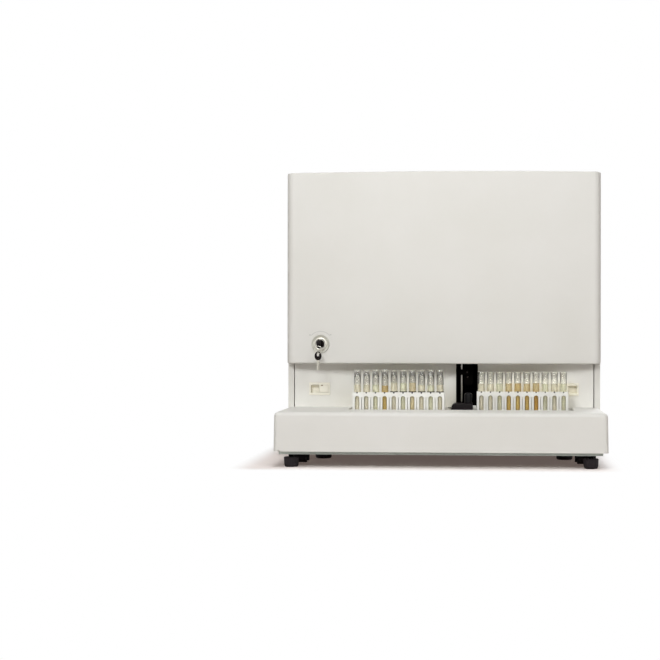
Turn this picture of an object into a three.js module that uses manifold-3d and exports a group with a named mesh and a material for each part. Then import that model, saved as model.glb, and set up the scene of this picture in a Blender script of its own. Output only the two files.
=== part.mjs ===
import * as THREE from 'three';
import { mergeVertices } from 'three/addons/utils/BufferGeometryUtils.js';
import Module from 'manifold-3d';

// Urine sediment analyzer, in millimetres: X runs to the right, Y to the back, Z up.
// The origin is on the bench, under the middle of the machine.

// Driving dimensions
const overall = { width: 700, depth: 660, height: 640 };
const seatGap = 0.3;
const runGap = 0.6;
const overrun = 4;
const grid = 0.001;

const chassis = { thickness: 6, sideInset: 11, frontInset: 8, rearInset: 2 };

const tray = {
  depth: 230, height: 83, draft: 1.4, wall: 4, topRadius: 11, cornerRadius: 14,
  rimWidth: 16, rimThickness: 3,
};

const pocket = { leftMargin: 10, rightMargin: 10.5, frontMargin: 118, depth: 29, floorWall: 4 };

const body = {
  width: 698, sheet: 2.5, postWidth: 13, seam: 1.8, windowHeight: 98,
  rearRecess: 3.5, rearLip: 14,
};

const recess = { lap: 31, foot: 14 };

const cover = {
  wall: 3, endDepth: 30, bow: 25, cornerRadius: 17, edgeRadius: 3, backGap: 1,
  noseClearance: 3,
};

const hinge = { radius: 3.5, pinRadius: 1.5, knuckle: 60, endKnuckle: 25, sideMargin: 99, relief: 4.6 };

const bay = {
  center: 53, width: 43, depth: 78, wall: 2.5, flange: 10, railSize: 8, railDrop: 20, railReach: 5,
};

const carriage = {
  width: 20, offset: 3.8, front: 8, length: 48, bottom: 50, headroom: 13,
  armTop: 85, armHeight: 12, armReach: 10, armLength: 14, bottomRadius: 7,
};

const probe = {
  offset: -11.4, radius: 1.5, parkedFront: 12, rise: 171, hubRadius: 4, hubHeight: 18, hubGap: 20,
};

const shuttle = {
  center: 43, width: 46, depth: 66, backMargin: 6, top: 11, cornerRadius: 8,
  noseWidth: 8.6, noseHeight: 6, noseDepth: 12, tongueReach: 9, tongueHeight: 2,
  finLength: 20, finWidth: 8, finDrop: 12, travel: 200,
};

const roller = { offset: 13.5, radius: 8.5, height: 23, dome: 3, pinRadius: 2.5, pinLength: 8 };

const rack = {
  cells: 10, pitch: 20, depth: 24, height: 66, floor: 6, bar: 8, sill: 8,
  windowWidth: 11.6, slitWidth: 1.4, slitDrop: 11, notchRadius: 1.4,
};
const leftRack = { shuttleGap: 5, laneMargin: 4 };
const rightRack = { shuttleGap: 0.9, laneMargin: 23.7 };

const tube = { radius: 7.5, wall: 0.9, leftLength: 108, rightLength: 102.5 };

const latch = {
  sideMargin: 56.2, height: 40.5, width: 47, tall: 28, plate: 2, tubWidth: 43, tubTall: 21,
  tubDepth: 12, wall: 1.8, tabWidth: 20, tabDepth: 10.5,
};

const lock = {
  sideMargin: 77, rise: 43.5, ringRadius: 20.4, ringInner: 14, ringSeat: 1.4, ringHeight: 3,
  barrelRadius: 9, barrelProud: 1, camLength: 26, camWidth: 12, camThickness: 2.5, camBehind: 1.2,
  keywayHeight: 8, keywayWidth: 3, keywayDepth: 15,
};

const key = {
  bowRadius: 10, bowThickness: 7, bowStand: 4, bladeWidth: 7, bladeThickness: 2.2,
  holeRadius: 3.6, holeForward: 6, holeDrop: 3, spareBlade: 21,
};

const keyRing = { radius: 8.5, wire: 0.8, sag: 1.5 };

const levellingFoot = {
  sideMargin: 24, frontMargin: 30, radius: 16, height: 21, taper: 1.5, edge: 3,
  stemRadius: 5, stemHeight: 22,
};

const rubberFoot = { sideMargin: 68, radius: 19.5, height: 28, taper: 2, midBack: 20, rearMargin: 40 };

const caster = {
  sideMargin: 31, frontMargin: 90, plateRadius: 24, plateThickness: 3, pinRadius: 4, pinHeight: 10,
  wheelRadius: 10.5, wheelWidth: 35.5, trail: 12, legThickness: 4, legLength: 12, axleRadius: 2.5,
};

const microscope = {
  x: 170, y: 130, baseWidth: 150, baseDepth: 170, baseHeight: 18, columnWidth: 60, columnDepth: 46,
  columnHeight: 250, armHeight: 44, armReach: 120, stageWidth: 110, stageDepth: 90, stageHeight: 12,
  stageRise: 92, cellWidth: 26, cellHeight: 6, objectiveRadius: 14, objectiveTip: 6,
  objectiveLength: 62, tubeRadius: 22, tubeHeight: 52, cameraSize: 54, cameraHeight: 66,
};

const pump = {
  x: -150, y: 70, footDepth: 70, footHeight: 8, plateWidth: 70, plateDepth: 14, plateHeight: 210,
  barrelRadius: 11, barrelBore: 8.5, barrelLength: 84, barrelCap: 8, barrelBottom: 104,
  barrelStand: 19, bracketWidth: 34, bracketHeight: 12,
};

const plunger = { pistonLength: 12, rodRadius: 3, rodLength: 92, shoeWidth: 30, shoeHeight: 12, topGap: 8 };

const fan = {
  sideMargin: 159, topMargin: 170, openingRadius: 56, spokeWidth: 7, hubRadius: 21,
  pinRadius: 3, pinLength: 26,
  rotorHub: 19, rotorRadius: 52, rotorDepth: 20, bladeThickness: 3, bladePitch: 0.55,
};

const inlet = {
  sideMargin: 99, rise: 78, width: 52, tall: 72, plate: 2, tubWidth: 44, tubTall: 62, tubDepth: 30,
  socketWidth: 28, socketTall: 22, socketDepth: 17, socketDrop: 14,
  pinWidth: 2, pinTall: 4, pinLength: 13, pinSpread: 7, earthRise: 6,
  windowWidth: 24, windowTall: 20, windowDepth: 12, windowRise: 17,
};

const rocker = { proud: 1, depth: 8, tilt: 0.12, pinRadius: 1.5, pinLength: 1.2 };

// Counts of facets, cells and blades
const roundSides = 16;
const fineSides = 24;
const tubeSides = 12;
const smallSides = 8;
const bowlSteps = 3;
const arcSteps = 4;
const bowSteps = 20;
const bladeCount = 7;
const spokeCount = 4;

// Planes that several pieces share
const frontY = -overall.depth / 2;
const backY = overall.depth / 2;
const bodyFront = frontY + tray.depth;
const chassisTop = rubberFoot.height + chassis.thickness;
const chassisSide = overall.width / 2 - chassis.sideInset;
const trayTop = chassisTop + tray.height;
const trayBack = bodyFront - seatGap;
const pocketFloor = trayTop - pocket.depth;
const pocketFront = frontY + pocket.frontMargin;
const pocketBack = trayBack - tray.wall;
const rackLength = rack.cells * rack.pitch;
const tongueEnd = shuttle.center - shuttle.width / 2 - shuttle.tongueReach;
const noseEnd = shuttle.center + shuttle.width / 2 + shuttle.noseWidth;
const leftRackX = tongueEnd - leftRack.shuttleGap - rackLength / 2;
const rightRackX = noseEnd + rightRack.shuttleGap + rackLength / 2;
const pocketLeft = leftRackX - rackLength / 2 - pocket.leftMargin;
const pocketRight = rightRackX + rackLength / 2 + pocket.rightMargin;
const frontLaneY = pocketFront + leftRack.laneMargin + rack.depth / 2;
const rearLaneY = pocketBack - rightRack.laneMargin - rack.depth / 2;
const coverBottom = trayTop + body.windowHeight;
const recessTop = coverBottom + recess.lap;
const bodySide = body.width / 2;
const roofBottom = overall.height - body.sheet;
const rearPanelBack = backY - body.rearRecess;
const rearPanelFront = rearPanelBack - body.sheet;
const recessSide = bodySide - body.postWidth - body.seam;
const latchX = recessSide - latch.sideMargin;
const lockX = lock.sideMargin - bodySide;
const inletX = inlet.sideMargin - bodySide;
const inletZ = chassisTop + inlet.rise;
const fanX = bodySide - fan.sideMargin;
const fanZ = overall.height - fan.topMargin;
const levellingX = chassisSide - levellingFoot.sideMargin;
const rubberX = chassisSide - rubberFoot.sideMargin;
const casterX = chassisSide - caster.sideMargin;
const carriageCenter = bay.center + carriage.offset;
const bayLeft = bay.center - bay.width / 2;
const bayRight = bay.center + bay.width / 2;
const hingeY = bodyFront;
const hingeZ = overall.height - hinge.radius;
const hingeReach = hinge.radius + runGap;

// Materials, by the colour and finish that show
function paint(color, roughness, metalness = 0) {
  return new THREE.MeshStandardMaterial({ color, roughness, metalness });
}
const coverPaint = paint('#dad9d4', 0.55);
const wallPaint = paint('#d6d3ca', 0.6);
const trayPlastic = paint('#d9d8d3', 0.5);
const chassisPaint = paint('#989b94', 0.55, 0.3);
const ivoryPlastic = paint('#e3dcc6', 0.45);
const rackPlastic = paint('#e9e8e2', 0.45);
const blackPlastic = paint('#17150f', 0.5);
const darkPaint = paint('#1c1a19', 0.6, 0.2);
const darkRubber = paint('#26221f', 0.85);
const bareSteel = paint('#b9bab8', 0.3, 1);
const chromeSteel = paint('#d4d3cf', 0.15, 1);
const greyPlastic = paint('#6e6c69', 0.5);
const glass = new THREE.MeshStandardMaterial({
  color: '#dfe6df', roughness: 0.08, metalness: 0, transparent: true, opacity: 0.35,
});

// Solids: every primitive is a three.js geometry turned into a closed solid
const wasm = await Module();
wasm.setup();

// Corners snap to the grid, so that planes which two primitives share are the same plane
const snapped = (value) => Math.round(value / grid) * grid;

function solidOf(geometry) {
  geometry.deleteAttribute('normal');
  geometry.deleteAttribute('uv');
  const merged = mergeVertices(geometry);
  return new wasm.Manifold(new wasm.Mesh({
    numProp: 3,
    vertProperties: Float32Array.from(merged.attributes.position.array, snapped),
    triVerts: Uint32Array.from(merged.index.array),
  }));
}

function geometryOf(solid) {
  const { vertProperties, triVerts } = solid.getMesh();
  const geometry = new THREE.BufferGeometry();
  geometry.setAttribute('position', new THREE.BufferAttribute(vertProperties, 3));
  geometry.setIndex(new THREE.BufferAttribute(triVerts, 1));
  const faceted = geometry.toNonIndexed();
  faceted.computeVertexNormals();
  return faceted;
}

const join = (...solids) => solids.reduce((sum, solid) => sum.add(solid));
const cut = (base, ...tools) => tools.reduce((rest, tool) => rest.subtract(tool), base);
const common = (...solids) => solids.reduce((shared, solid) => shared.intersect(solid));

// A box between two planes on each axis
function block([x0, x1], [y0, y1], [z0, z1]) {
  const geometry = new THREE.BoxGeometry(x1 - x0, y1 - y0, z1 - z0);
  geometry.translate((x0 + x1) / 2, (y0 + y1) / 2, (z0 + z1) / 2);
  return solidOf(geometry);
}

// The span of a size about its middle
const about = (middle, size) => [middle - size / 2, middle + size / 2];

// How an outline's two directions and its run map onto X, Y and Z
const right = new THREE.Vector3(1, 0, 0);
const left = new THREE.Vector3(-1, 0, 0);
const backward = new THREE.Vector3(0, 1, 0);
const up = new THREE.Vector3(0, 0, 1);
const frames = {
  x: new THREE.Matrix4().makeBasis(backward, up, right),
  y: new THREE.Matrix4().makeBasis(left, up, backward),
  z: new THREE.Matrix4(),
};

// An outline pushed along an axis: (y, z) along x, (-x, z) along y, (x, y) along z
function prism(shape, axis, [from, to], options = {}) {
  const geometry = new THREE.ExtrudeGeometry(shape, {
    depth: to - from, bevelEnabled: false, curveSegments: arcSteps, ...options,
  });
  geometry.translate(0, 0, from);
  geometry.applyMatrix4(frames[axis]);
  return solidOf(geometry);
}

// A profile of [radius, height] points turned about Z, then laid along the axis at a place
function turned(profile, sides, axis = 'z', place = [0, 0, 0]) {
  const points = profile.map(([radius, height]) => new THREE.Vector2(radius, height));
  const geometry = new THREE.LatheGeometry(points, sides);
  geometry.rotateX(Math.PI / 2);
  geometry.applyMatrix4(frames[axis]);
  geometry.translate(...place);
  return solidOf(geometry);
}

// A round bar between two heights on its axis
function bar(radius, [from, to], sides, axis = 'z', place = [0, 0, 0]) {
  return turned([[0, from], [radius, from], [radius, to], [0, to]], sides, axis, place);
}

function outline(points) {
  return new THREE.Shape(points.map(([u, v]) => new THREE.Vector2(u, v)));
}

function materialMesh(name, solid, material, parent, place = [0, 0, 0]) {
  const mesh = new THREE.Mesh(geometryOf(solid), material);
  mesh.name = name;
  mesh.position.set(...place);
  parent.add(mesh);
  return mesh;
}

const analyzer = new THREE.Group();

// Base chassis: a folded steel pan that everything stands on
const footY = frontY + levellingFoot.frontMargin;
const casterY = frontY + caster.frontMargin;

function chassisSolid() {
  const depth = [frontY + chassis.frontInset, backY - chassis.rearInset];
  const holes = [-1, 1].flatMap((side) => [
    bar(levellingFoot.stemRadius + seatGap, [-overrun, chassis.thickness + overrun], roundSides, 'z',
      [side * levellingX, footY, 0]),
    bar(caster.pinRadius + seatGap, [-overrun, chassis.thickness + overrun], roundSides, 'z',
      [side * casterX, casterY, 0]),
  ]);
  return cut(block([-chassisSide, chassisSide], depth, [0, chassis.thickness]), ...holes);
}
materialMesh('base_chassis', chassisSolid(), chassisPaint, analyzer, [0, 0, rubberFoot.height]);

// Sampler tray: a moulded hood over the front of the chassis, with a sunk lane for the racks
function trayForm(inset, bottom) {
  const front = frontY + inset;
  const back = trayBack - inset;
  const top = trayTop - inset;
  const side = overall.width / 2 - inset;
  const topSide = side - tray.draft;
  const radius = tray.topRadius - inset;
  const corner = tray.cornerRadius - inset;

  const sideView = new THREE.Shape();
  sideView.moveTo(front, bottom);
  sideView.lineTo(back, bottom);
  sideView.lineTo(back, top);
  sideView.absarc(front + radius, top - radius, radius, Math.PI / 2, Math.PI, false);

  const frontView = new THREE.Shape();
  frontView.moveTo(-side, bottom);
  frontView.lineTo(side, bottom);
  frontView.absarc(topSide - radius, top - radius, radius, 0, Math.PI / 2, false);
  frontView.absarc(radius - topSide, top - radius, radius, Math.PI / 2, Math.PI, false);

  const plan = new THREE.Shape();
  plan.moveTo(side, back);
  plan.lineTo(-side, back);
  plan.absarc(corner - side, front + corner, corner, Math.PI, Math.PI * 1.5, false);
  plan.absarc(side - corner, front + corner, corner, -Math.PI / 2, 0, false);

  return common(
    prism(sideView, 'x', [-side, side]),
    prism(frontView, 'y', [front, back]),
    prism(plan, 'z', [bottom, top]),
  );
}

const finX = about(shuttle.center, shuttle.finLength);
const shuttleBack = pocketBack - shuttle.backMargin;
const shuttleFront = shuttleBack - shuttle.depth;
const finY = about((shuttleFront + shuttleBack) / 2, shuttle.finWidth);

function traySolid() {
  const bottom = chassisTop;
  const rim = tray.wall + tray.rimWidth;
  const cavity = trayForm(tray.wall, bottom + tray.rimThickness);
  const mouth = block([rim - overall.width / 2, overall.width / 2 - rim], [frontY + rim, trayBack - rim],
    [bottom - overrun, bottom + tray.rimThickness + overrun]);
  const shell = cut(trayForm(0, bottom), cavity, mouth);
  const well = pocket.floorWall;
  const housing = block([pocketLeft - well, pocketRight + well], [pocketFront - well, trayBack],
    [pocketFloor - well, trayTop - tray.wall / 2]);
  const lane = block([pocketLeft, pocketRight], [pocketFront, pocketBack], [pocketFloor, trayTop + overrun]);
  const slot = block([finX[0] - shuttle.travel - runGap, finX[1] + runGap],
    [finY[0] - runGap, finY[1] + runGap], [pocketFloor - well - overrun, pocketFloor + overrun]);
  return cut(join(shell, housing), lane, slot);
}
materialMesh('sampler_tray', traySolid(), trayPlastic, analyzer);

// Side panels: folded sheets, each with the narrow post that flanks the recess
function sidePanelSolid(side) {
  const across = (inner, outer) => [side * inner, side * outer].sort((a, b) => a - b);
  const inner = bodySide - body.sheet;
  const flangeInner = bodySide - body.postWidth;
  const flangeBack = rearPanelFront - seatGap;
  return join(
    block(across(inner, bodySide), [bodyFront, backY], [chassisTop, roofBottom]),
    block(across(flangeInner, bodySide), [bodyFront, bodyFront + body.sheet], [chassisTop, roofBottom]),
    block(across(flangeInner, bodySide), [bodyFront, flangeBack], [chassisTop, chassisTop + body.sheet]),
    block(across(flangeInner, bodySide), [bodyFront, flangeBack], [roofBottom - body.sheet, roofBottom]),
    block(across(flangeInner, bodySide), [flangeBack - body.sheet, flangeBack], [chassisTop, roofBottom]),
  );
}
materialMesh('left_side_panel', sidePanelSolid(-1), wallPaint, analyzer);
materialMesh('right_side_panel', sidePanelSolid(1), wallPaint, analyzer);

// Rear panel: a sheet with the fan grille, its hub pin and the hole for the power inlet
function rearPanelSolid() {
  const side = bodySide - body.sheet - seatGap;
  const sheet = block([-side, side], [rearPanelFront, rearPanelBack], [chassisTop, roofBottom]);
  const fanPlace = [fanX, 0, fanZ];
  const through = [rearPanelFront - overrun, rearPanelBack + overrun];
  const hole = block(about(inletX, inlet.tubWidth + 2 * seatGap), through,
    about(inletZ, inlet.tubTall + 2 * seatGap));
  const opening = bar(fan.openingRadius, through, fineSides, 'y', fanPlace);
  const spokes = [0, 1].map((turn) => {
    const spoke = new THREE.BoxGeometry(2 * fan.openingRadius + overrun, body.sheet, fan.spokeWidth);
    spoke.rotateY((turn * 2 * Math.PI) / spokeCount);
    spoke.translate(fanX, (rearPanelFront + rearPanelBack) / 2, fanZ);
    return solidOf(spoke);
  });
  const hub = bar(fan.hubRadius, [rearPanelFront, rearPanelBack], roundSides, 'y', fanPlace);
  const pin = bar(fan.pinRadius, [rearPanelFront - fan.pinLength, rearPanelBack], roundSides, 'y', fanPlace);
  return join(cut(sheet, opening, hole), ...spokes, hub, pin);
}
materialMesh('rear_panel', rearPanelSolid(), wallPaint, analyzer);

// Piano hinge: the roof holds the pins, the cover turns on them
const hingePlaces = [-1, 1].map((side) => side * (bodySide - hinge.sideMargin));

function roofSolid() {
  const front = hingeY + hingeReach;
  const sheet = block([-bodySide, bodySide], [front, backY], [roofBottom, overall.height]);
  const lipSide = bodySide - body.sheet - seatGap;
  const lip = block([-lipSide, lipSide], [backY - body.sheet, backY],
    [roofBottom - body.rearLip, roofBottom]);
  const half = hinge.knuckle / 2 + runGap;
  const knuckles = hingePlaces.flatMap((x) => [-1, 1].flatMap((side) => {
    const span = [x + side * half, x + side * (half + hinge.endKnuckle)].sort((a, b) => a - b);
    return [
      bar(hinge.radius, span, roundSides, 'x', [0, hingeY, hingeZ]),
      block(span, [hingeY, front + overrun], [roofBottom, overall.height]),
    ];
  }));
  const reach = half + hinge.endKnuckle / 2;
  const pins = hingePlaces.map((x) => bar(hinge.pinRadius, [x - reach, x + reach], smallSides, 'x',
    [0, hingeY, hingeZ]));
  return join(sheet, lip, ...knuckles, ...pins);
}
materialMesh('top_panel', roofSolid(), wallPaint, analyzer);

// Recess panel: the wall behind the racks, notched for the sampling bay
function recessPanelSolid() {
  const sheet = block([-recessSide, recessSide], [bodyFront, bodyFront + body.sheet],
    [chassisTop, recessTop]);
  const foot = block([-recessSide, recessSide], [bodyFront, bodyFront + recess.foot],
    [chassisTop, chassisTop + body.sheet]);
  const clear = bay.wall + seatGap;
  const through = [bodyFront - overrun, bodyFront + body.sheet + overrun];
  const notch = block([bayLeft - clear, bayRight + clear], through, [trayTop - clear, recessTop + overrun]);
  const latchHoles = [-1, 1].map((side) => block(about(side * latchX, latch.tubWidth + 2 * seatGap), through,
    about(trayTop + latch.height, latch.tubTall + 2 * seatGap)));
  return cut(join(sheet, foot), notch, ...latchHoles);
}
materialMesh('recess_panel', recessPanelSolid(), wallPaint, analyzer);

// Sampling bay: the black box behind the notch, with the carriage's rail
const railTop = recessTop - bay.railDrop;
const railX = about(carriageCenter, bay.railSize);
const railZ = [railTop - bay.railSize, railTop];

function baySolid() {
  const left = bayLeft - bay.wall;
  const right = bayRight + bay.wall;
  const back = bodyFront + bay.depth;
  const flangeFront = bodyFront + body.sheet + seatGap;
  const flangeSpan = [flangeFront, flangeFront + bay.wall];
  const shell = block([left, right], [bodyFront, back + bay.wall], [trayTop - bay.wall, recessTop]);
  const hollow = block([bayLeft, bayRight], [bodyFront - overrun, back], [trayTop, recessTop + overrun]);
  const flanges = join(
    block([left - bay.flange, left], flangeSpan, [trayTop, recessTop]),
    block([right, right + bay.flange], flangeSpan, [trayTop, recessTop]),
  );
  const rail = block(railX, [bodyFront - bay.railReach, back + bay.wall], railZ);
  return join(cut(shell, hollow), flanges, rail);
}
materialMesh('sampling_bay', baySolid(), darkPaint, analyzer);

// Probe carriage: slides forward on the rail and guides the needle in its arm
const probeX = bay.center + probe.offset;
const probeY = bodyFront - probe.parkedFront;
const armTopZ = trayTop + carriage.armTop;

function carriageSolid() {
  const front = bodyFront - carriage.front;
  const bottom = trayTop + carriage.bottom;
  const top = railTop + carriage.headroom;
  const radius = carriage.bottomRadius;
  const face = new THREE.Shape();
  face.moveTo(carriage.width / 2, top);
  face.lineTo(-carriage.width / 2, top);
  face.absarc(radius - carriage.width / 2, bottom + radius, radius, Math.PI, Math.PI * 1.5, false);
  face.absarc(carriage.width / 2 - radius, bottom + radius, radius, -Math.PI / 2, 0, false);
  const blockBody = prism(face, 'y', [front, front + carriage.length]);
  const arm = block([probeX - carriage.armReach / 2 - carriageCenter, 0],
    about(probeY, carriage.armLength), [armTopZ - carriage.armHeight, armTopZ]);
  const channel = block(about(0, bay.railSize + 2 * seatGap),
    [front - overrun, front + carriage.length + overrun], [railZ[0] - seatGap, railZ[1] + seatGap]);
  const bore = bar(probe.radius + seatGap, [armTopZ - carriage.armHeight - overrun, armTopZ + overrun],
    tubeSides, 'z', [probeX - carriageCenter, probeY, 0]);
  return cut(join(blockBody, arm), channel, bore);
}
materialMesh('probe_carriage', carriageSolid(), blackPlastic, analyzer, [carriageCenter, 0, 0]);

// Sample probe: the steel needle, parked just over the shuttle, with its hub above the arm
const shuttleTop = trayTop + shuttle.top;
const probeTip = shuttleTop + runGap;

function probeSolid() {
  const hub = armTopZ - probeTip + probe.hubGap;
  const tip = probe.radius / 2;
  return turned([
    [0, 0], [tip, 0], [probe.radius, probe.radius * 2], [probe.radius, hub], [probe.hubRadius, hub],
    [probe.hubRadius, hub + probe.hubHeight], [probe.radius, hub + probe.hubHeight],
    [probe.radius, probe.rise], [0, probe.rise],
  ], tubeSides);
}
materialMesh('sample_probe', probeSolid(), bareSteel, analyzer, [probeX, probeY, probeTip]);

// Rack shuttle: the black block that draws a rack along the rear lane
function shuttleSolid() {
  const half = shuttle.width / 2;
  const bottom = pocketFloor + seatGap;
  const radius = shuttle.cornerRadius;
  const face = new THREE.Shape();
  face.moveTo(-half, bottom);
  face.lineTo(half, bottom);
  face.absarc(half - radius, shuttleTop - radius, radius, 0, Math.PI / 2, false);
  face.lineTo(-half, shuttleTop);
  const slab = prism(face, 'y', [shuttleFront, shuttleBack]);
  const nose = block([half - overrun, half + shuttle.noseWidth], about(rearLaneY, shuttle.noseDepth),
    [trayTop - shuttle.noseHeight / 2, trayTop + shuttle.noseHeight]);
  const tongue = block([-half - shuttle.tongueReach, overrun - half], about(rearLaneY, shuttle.noseDepth),
    [trayTop, trayTop + shuttle.tongueHeight]);
  const fin = block(about(0, shuttle.finLength), finY, [bottom - shuttle.finDrop, bottom + overrun]);
  const pinHole = bar(roller.pinRadius + seatGap,
    [shuttleTop - roller.pinLength - seatGap, shuttleTop + overrun], tubeSides, 'z',
    [roller.offset, rearLaneY, 0]);
  return cut(join(slab, nose, tongue, fin), pinHole);
}
materialMesh('rack_shuttle', shuttleSolid(), blackPlastic, analyzer, [shuttle.center, 0, 0]);

// Tube roller: turns on its pin in the shuttle
function rollerSolid() {
  return turned([
    [0, -roller.pinLength], [roller.pinRadius, -roller.pinLength], [roller.pinRadius, 0], [roller.radius, 0],
    [roller.radius, roller.height - roller.dome], [roller.radius - roller.dome, roller.height],
    [0, roller.height],
  ], roundSides);
}
materialMesh('tube_roller', rollerSolid(), greyPlastic, analyzer,
  [shuttle.center + roller.offset, rearLaneY, shuttleTop + seatGap]);

// Racks: ten cells each, arched windows front and back, thin slits between the cells
const rackBottom = pocketFloor + seatGap;
const cellPlace = (cell) => (cell + 0.5) * rack.pitch - rackLength / 2;

function rackSolid() {
  const half = rack.depth / 2;
  const through = [-half - overrun, half + overrun];
  const archRadius = rack.windowWidth / 2;
  const archTop = rack.height - rack.bar;
  const arch = new THREE.Shape();
  arch.moveTo(-archRadius, rack.sill);
  arch.lineTo(archRadius, rack.sill);
  arch.absarc(0, archTop - archRadius, archRadius, 0, Math.PI, false);
  let solid = block([-rackLength / 2, rackLength / 2], [-half, half], [0, rack.height]);
  for (let cell = 0; cell < rack.cells; cell += 1) {
    const x = cellPlace(cell);
    const window = new THREE.ExtrudeGeometry(arch, {
      depth: through[1] - through[0], bevelEnabled: false, curveSegments: arcSteps,
    });
    window.translate(0, 0, through[0]);
    window.applyMatrix4(frames.y);
    window.translate(x, 0, 0);
    solid = cut(solid,
      bar(tube.radius + seatGap, [rack.floor, rack.height + overrun], tubeSides, 'z', [x, 0, 0]),
      solidOf(window),
      bar(rack.notchRadius, [-half - overrun, -half + overrun], smallSides, 'y', [x, 0, rack.height]));
  }
  for (let cell = 1; cell < rack.cells; cell += 1) {
    const x = cell * rack.pitch - rackLength / 2;
    solid = cut(solid, block(about(x, rack.slitWidth), through, [rack.sill, rack.height - rack.slitDrop]));
  }
  return solid;
}

// Sample tubes: open glass tubes with round bottoms
function tubeSolid(length) {
  const outer = tube.radius;
  const inner = tube.radius - tube.wall;
  const bowl = (radius, from, to) => Array.from({ length: bowlSteps + 1 }, (_, step) => {
    const angle = THREE.MathUtils.lerp(from, to, step / bowlSteps);
    return [radius * Math.cos(angle), outer + radius * Math.sin(angle)];
  });
  return turned([
    ...bowl(outer, -Math.PI / 2, 0), [outer, length], [inner, length], ...bowl(inner, 0, -Math.PI / 2),
  ], tubeSides);
}

function addRack(side, x, y, tubeLength) {
  const group = new THREE.Group();
  group.position.set(x, y, rackBottom);
  materialMesh(`${side}_rack`, rackSolid(), rackPlastic, group);
  for (let cell = 0; cell < rack.cells; cell += 1) {
    const number = String(cell + 1).padStart(2, '0');
    materialMesh(`${side}_tube_${number}`, tubeSolid(tubeLength), glass, group,
      [cellPlace(cell), 0, rack.floor + seatGap]);
  }
  analyzer.add(group);
}
addRack('left', leftRackX, frontLaneY, tube.leftLength);
addRack('right', rightRackX, rearLaneY, tube.rightLength);

// Service latches: an ivory frame let into the recess panel, with a tab that slides outward
function latchFrameSolid() {
  const face = -seatGap - latch.plate;
  const plate = block(about(0, latch.width), [face, -seatGap], about(0, latch.tall));
  const tub = block(about(0, latch.tubWidth), [face, latch.tubDepth], about(0, latch.tubTall));
  const pocketSpace = block(about(0, latch.tubWidth - 2 * latch.wall),
    [face - overrun, latch.tubDepth - latch.wall], about(0, latch.tubTall - 2 * latch.wall));
  return cut(join(plate, tub), pocketSpace);
}

const tabTall = latch.tubTall - 2 * latch.wall - 2 * seatGap;
const tabShift = latch.tubWidth / 2 - latch.wall - seatGap - latch.tabWidth / 2;
const tabBack = latch.tubDepth - latch.wall - seatGap;

function latchTabSolid() {
  return block(about(0, latch.tabWidth), [tabBack - latch.tabDepth, tabBack], about(0, tabTall));
}

for (const [name, side] of [['left', -1], ['right', 1]]) {
  const group = new THREE.Group();
  group.position.set(side * latchX, bodyFront, trayTop + latch.height);
  materialMesh(`${name}_latch_frame`, latchFrameSolid(), ivoryPlastic, group);
  materialMesh(`${name}_latch_slide`, latchTabSolid(), ivoryPlastic, group, [-side * tabShift, 0, 0]);
  analyzer.add(group);
}

// Front cover: a bowed hood on a hinge along its top rear edge
const coverEndY = bodyFront - cover.endDepth;
const coverBack = bodyFront - cover.backGap;
const bowHalf = bodySide - cover.cornerRadius;
const bowY = (x) => coverEndY - cover.bow * (1 - (x / bowHalf) ** 2);

function coverPlan(inset, back) {
  const side = bodySide - inset;
  const corner = cover.cornerRadius - inset;
  const half = side - corner;
  const bow = Array.from({ length: bowSteps + 1 }, (_, step) => {
    const x = THREE.MathUtils.lerp(-half, half, step / bowSteps);
    return new THREE.Vector2(x, bowY(x) + inset);
  });
  const plan = new THREE.Shape();
  plan.moveTo(side, back);
  plan.lineTo(-side, back);
  plan.absarc(corner - side, bow[0].y + corner, corner, Math.PI, Math.PI * 1.5, false);
  bow.slice(1).forEach((point) => plan.lineTo(point.x, point.y));
  plan.absarc(side - corner, bow[bowSteps].y + corner, corner, -Math.PI / 2, 0, false);
  return plan;
}

// The lock stands square to the bowed face, in a frame of its own
const lockSlope = Math.atan((2 * cover.bow * lockX) / bowHalf ** 2);
const lockY = bowY(lockX);
const lockZ = coverBottom + lock.rise;

function lockBore(radius, from, to) {
  const geometry = new THREE.CylinderGeometry(radius, radius, to - from, fineSides);
  geometry.translate(0, (from + to) / 2, 0);
  geometry.rotateZ(lockSlope);
  geometry.translate(lockX, lockY, lockZ);
  return solidOf(geometry);
}

function coverSolid() {
  const edge = cover.edgeRadius;
  const height = overall.height - coverBottom;
  const shell = prism(coverPlan(0, coverBack + overrun), 'z', [coverBottom + edge, overall.height - edge], {
    bevelEnabled: true, bevelThickness: edge, bevelSize: edge, bevelOffset: -edge, bevelSegments: 2,
  });
  const hollow = prism(coverPlan(cover.wall, coverBack + 2 * overrun), 'z',
    [coverBottom + cover.wall, overall.height - cover.wall]);
  const wide = overall.width / 2 + overrun;
  const behind = block([-wide, wide], [coverBack, coverBack + 4 * overrun], [coverBottom - overrun,
    overall.height + overrun]);
  const relief = block([-wide, wide], [hingeY - hingeReach, coverBack + overrun],
    [hingeZ - hinge.relief, overall.height + overrun]);
  const notchFront = bowY(bay.center) + cover.wall + cover.noseClearance;
  const notch = block([bayLeft, bayRight], [notchFront, coverBack + overrun],
    [coverBottom - overrun, coverBottom + cover.wall + overrun]);
  const panel = cut(shell, hollow, behind, relief, notch,
    lockBore(lock.barrelRadius + seatGap, -overrun, height),
    lockBore(lock.ringRadius + seatGap, -overrun, lock.ringSeat));
  const knuckles = hingePlaces.flatMap((x) => [
    bar(hinge.radius, about(x, hinge.knuckle), roundSides, 'x', [0, hingeY, hingeZ]),
    block(about(x, hinge.knuckle), [hingeY - hingeReach - overrun, hingeY],
      [overall.height - cover.wall, overall.height]),
  ]);
  const pinBores = hingePlaces.map((x) => bar(hinge.pinRadius + seatGap,
    about(x, hinge.knuckle + 2 * overrun), tubeSides, 'x', [0, hingeY, hingeZ]));
  return cut(join(panel, ...knuckles), ...pinBores);
}
materialMesh('front_cover', coverSolid(), coverPaint, analyzer);

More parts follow.
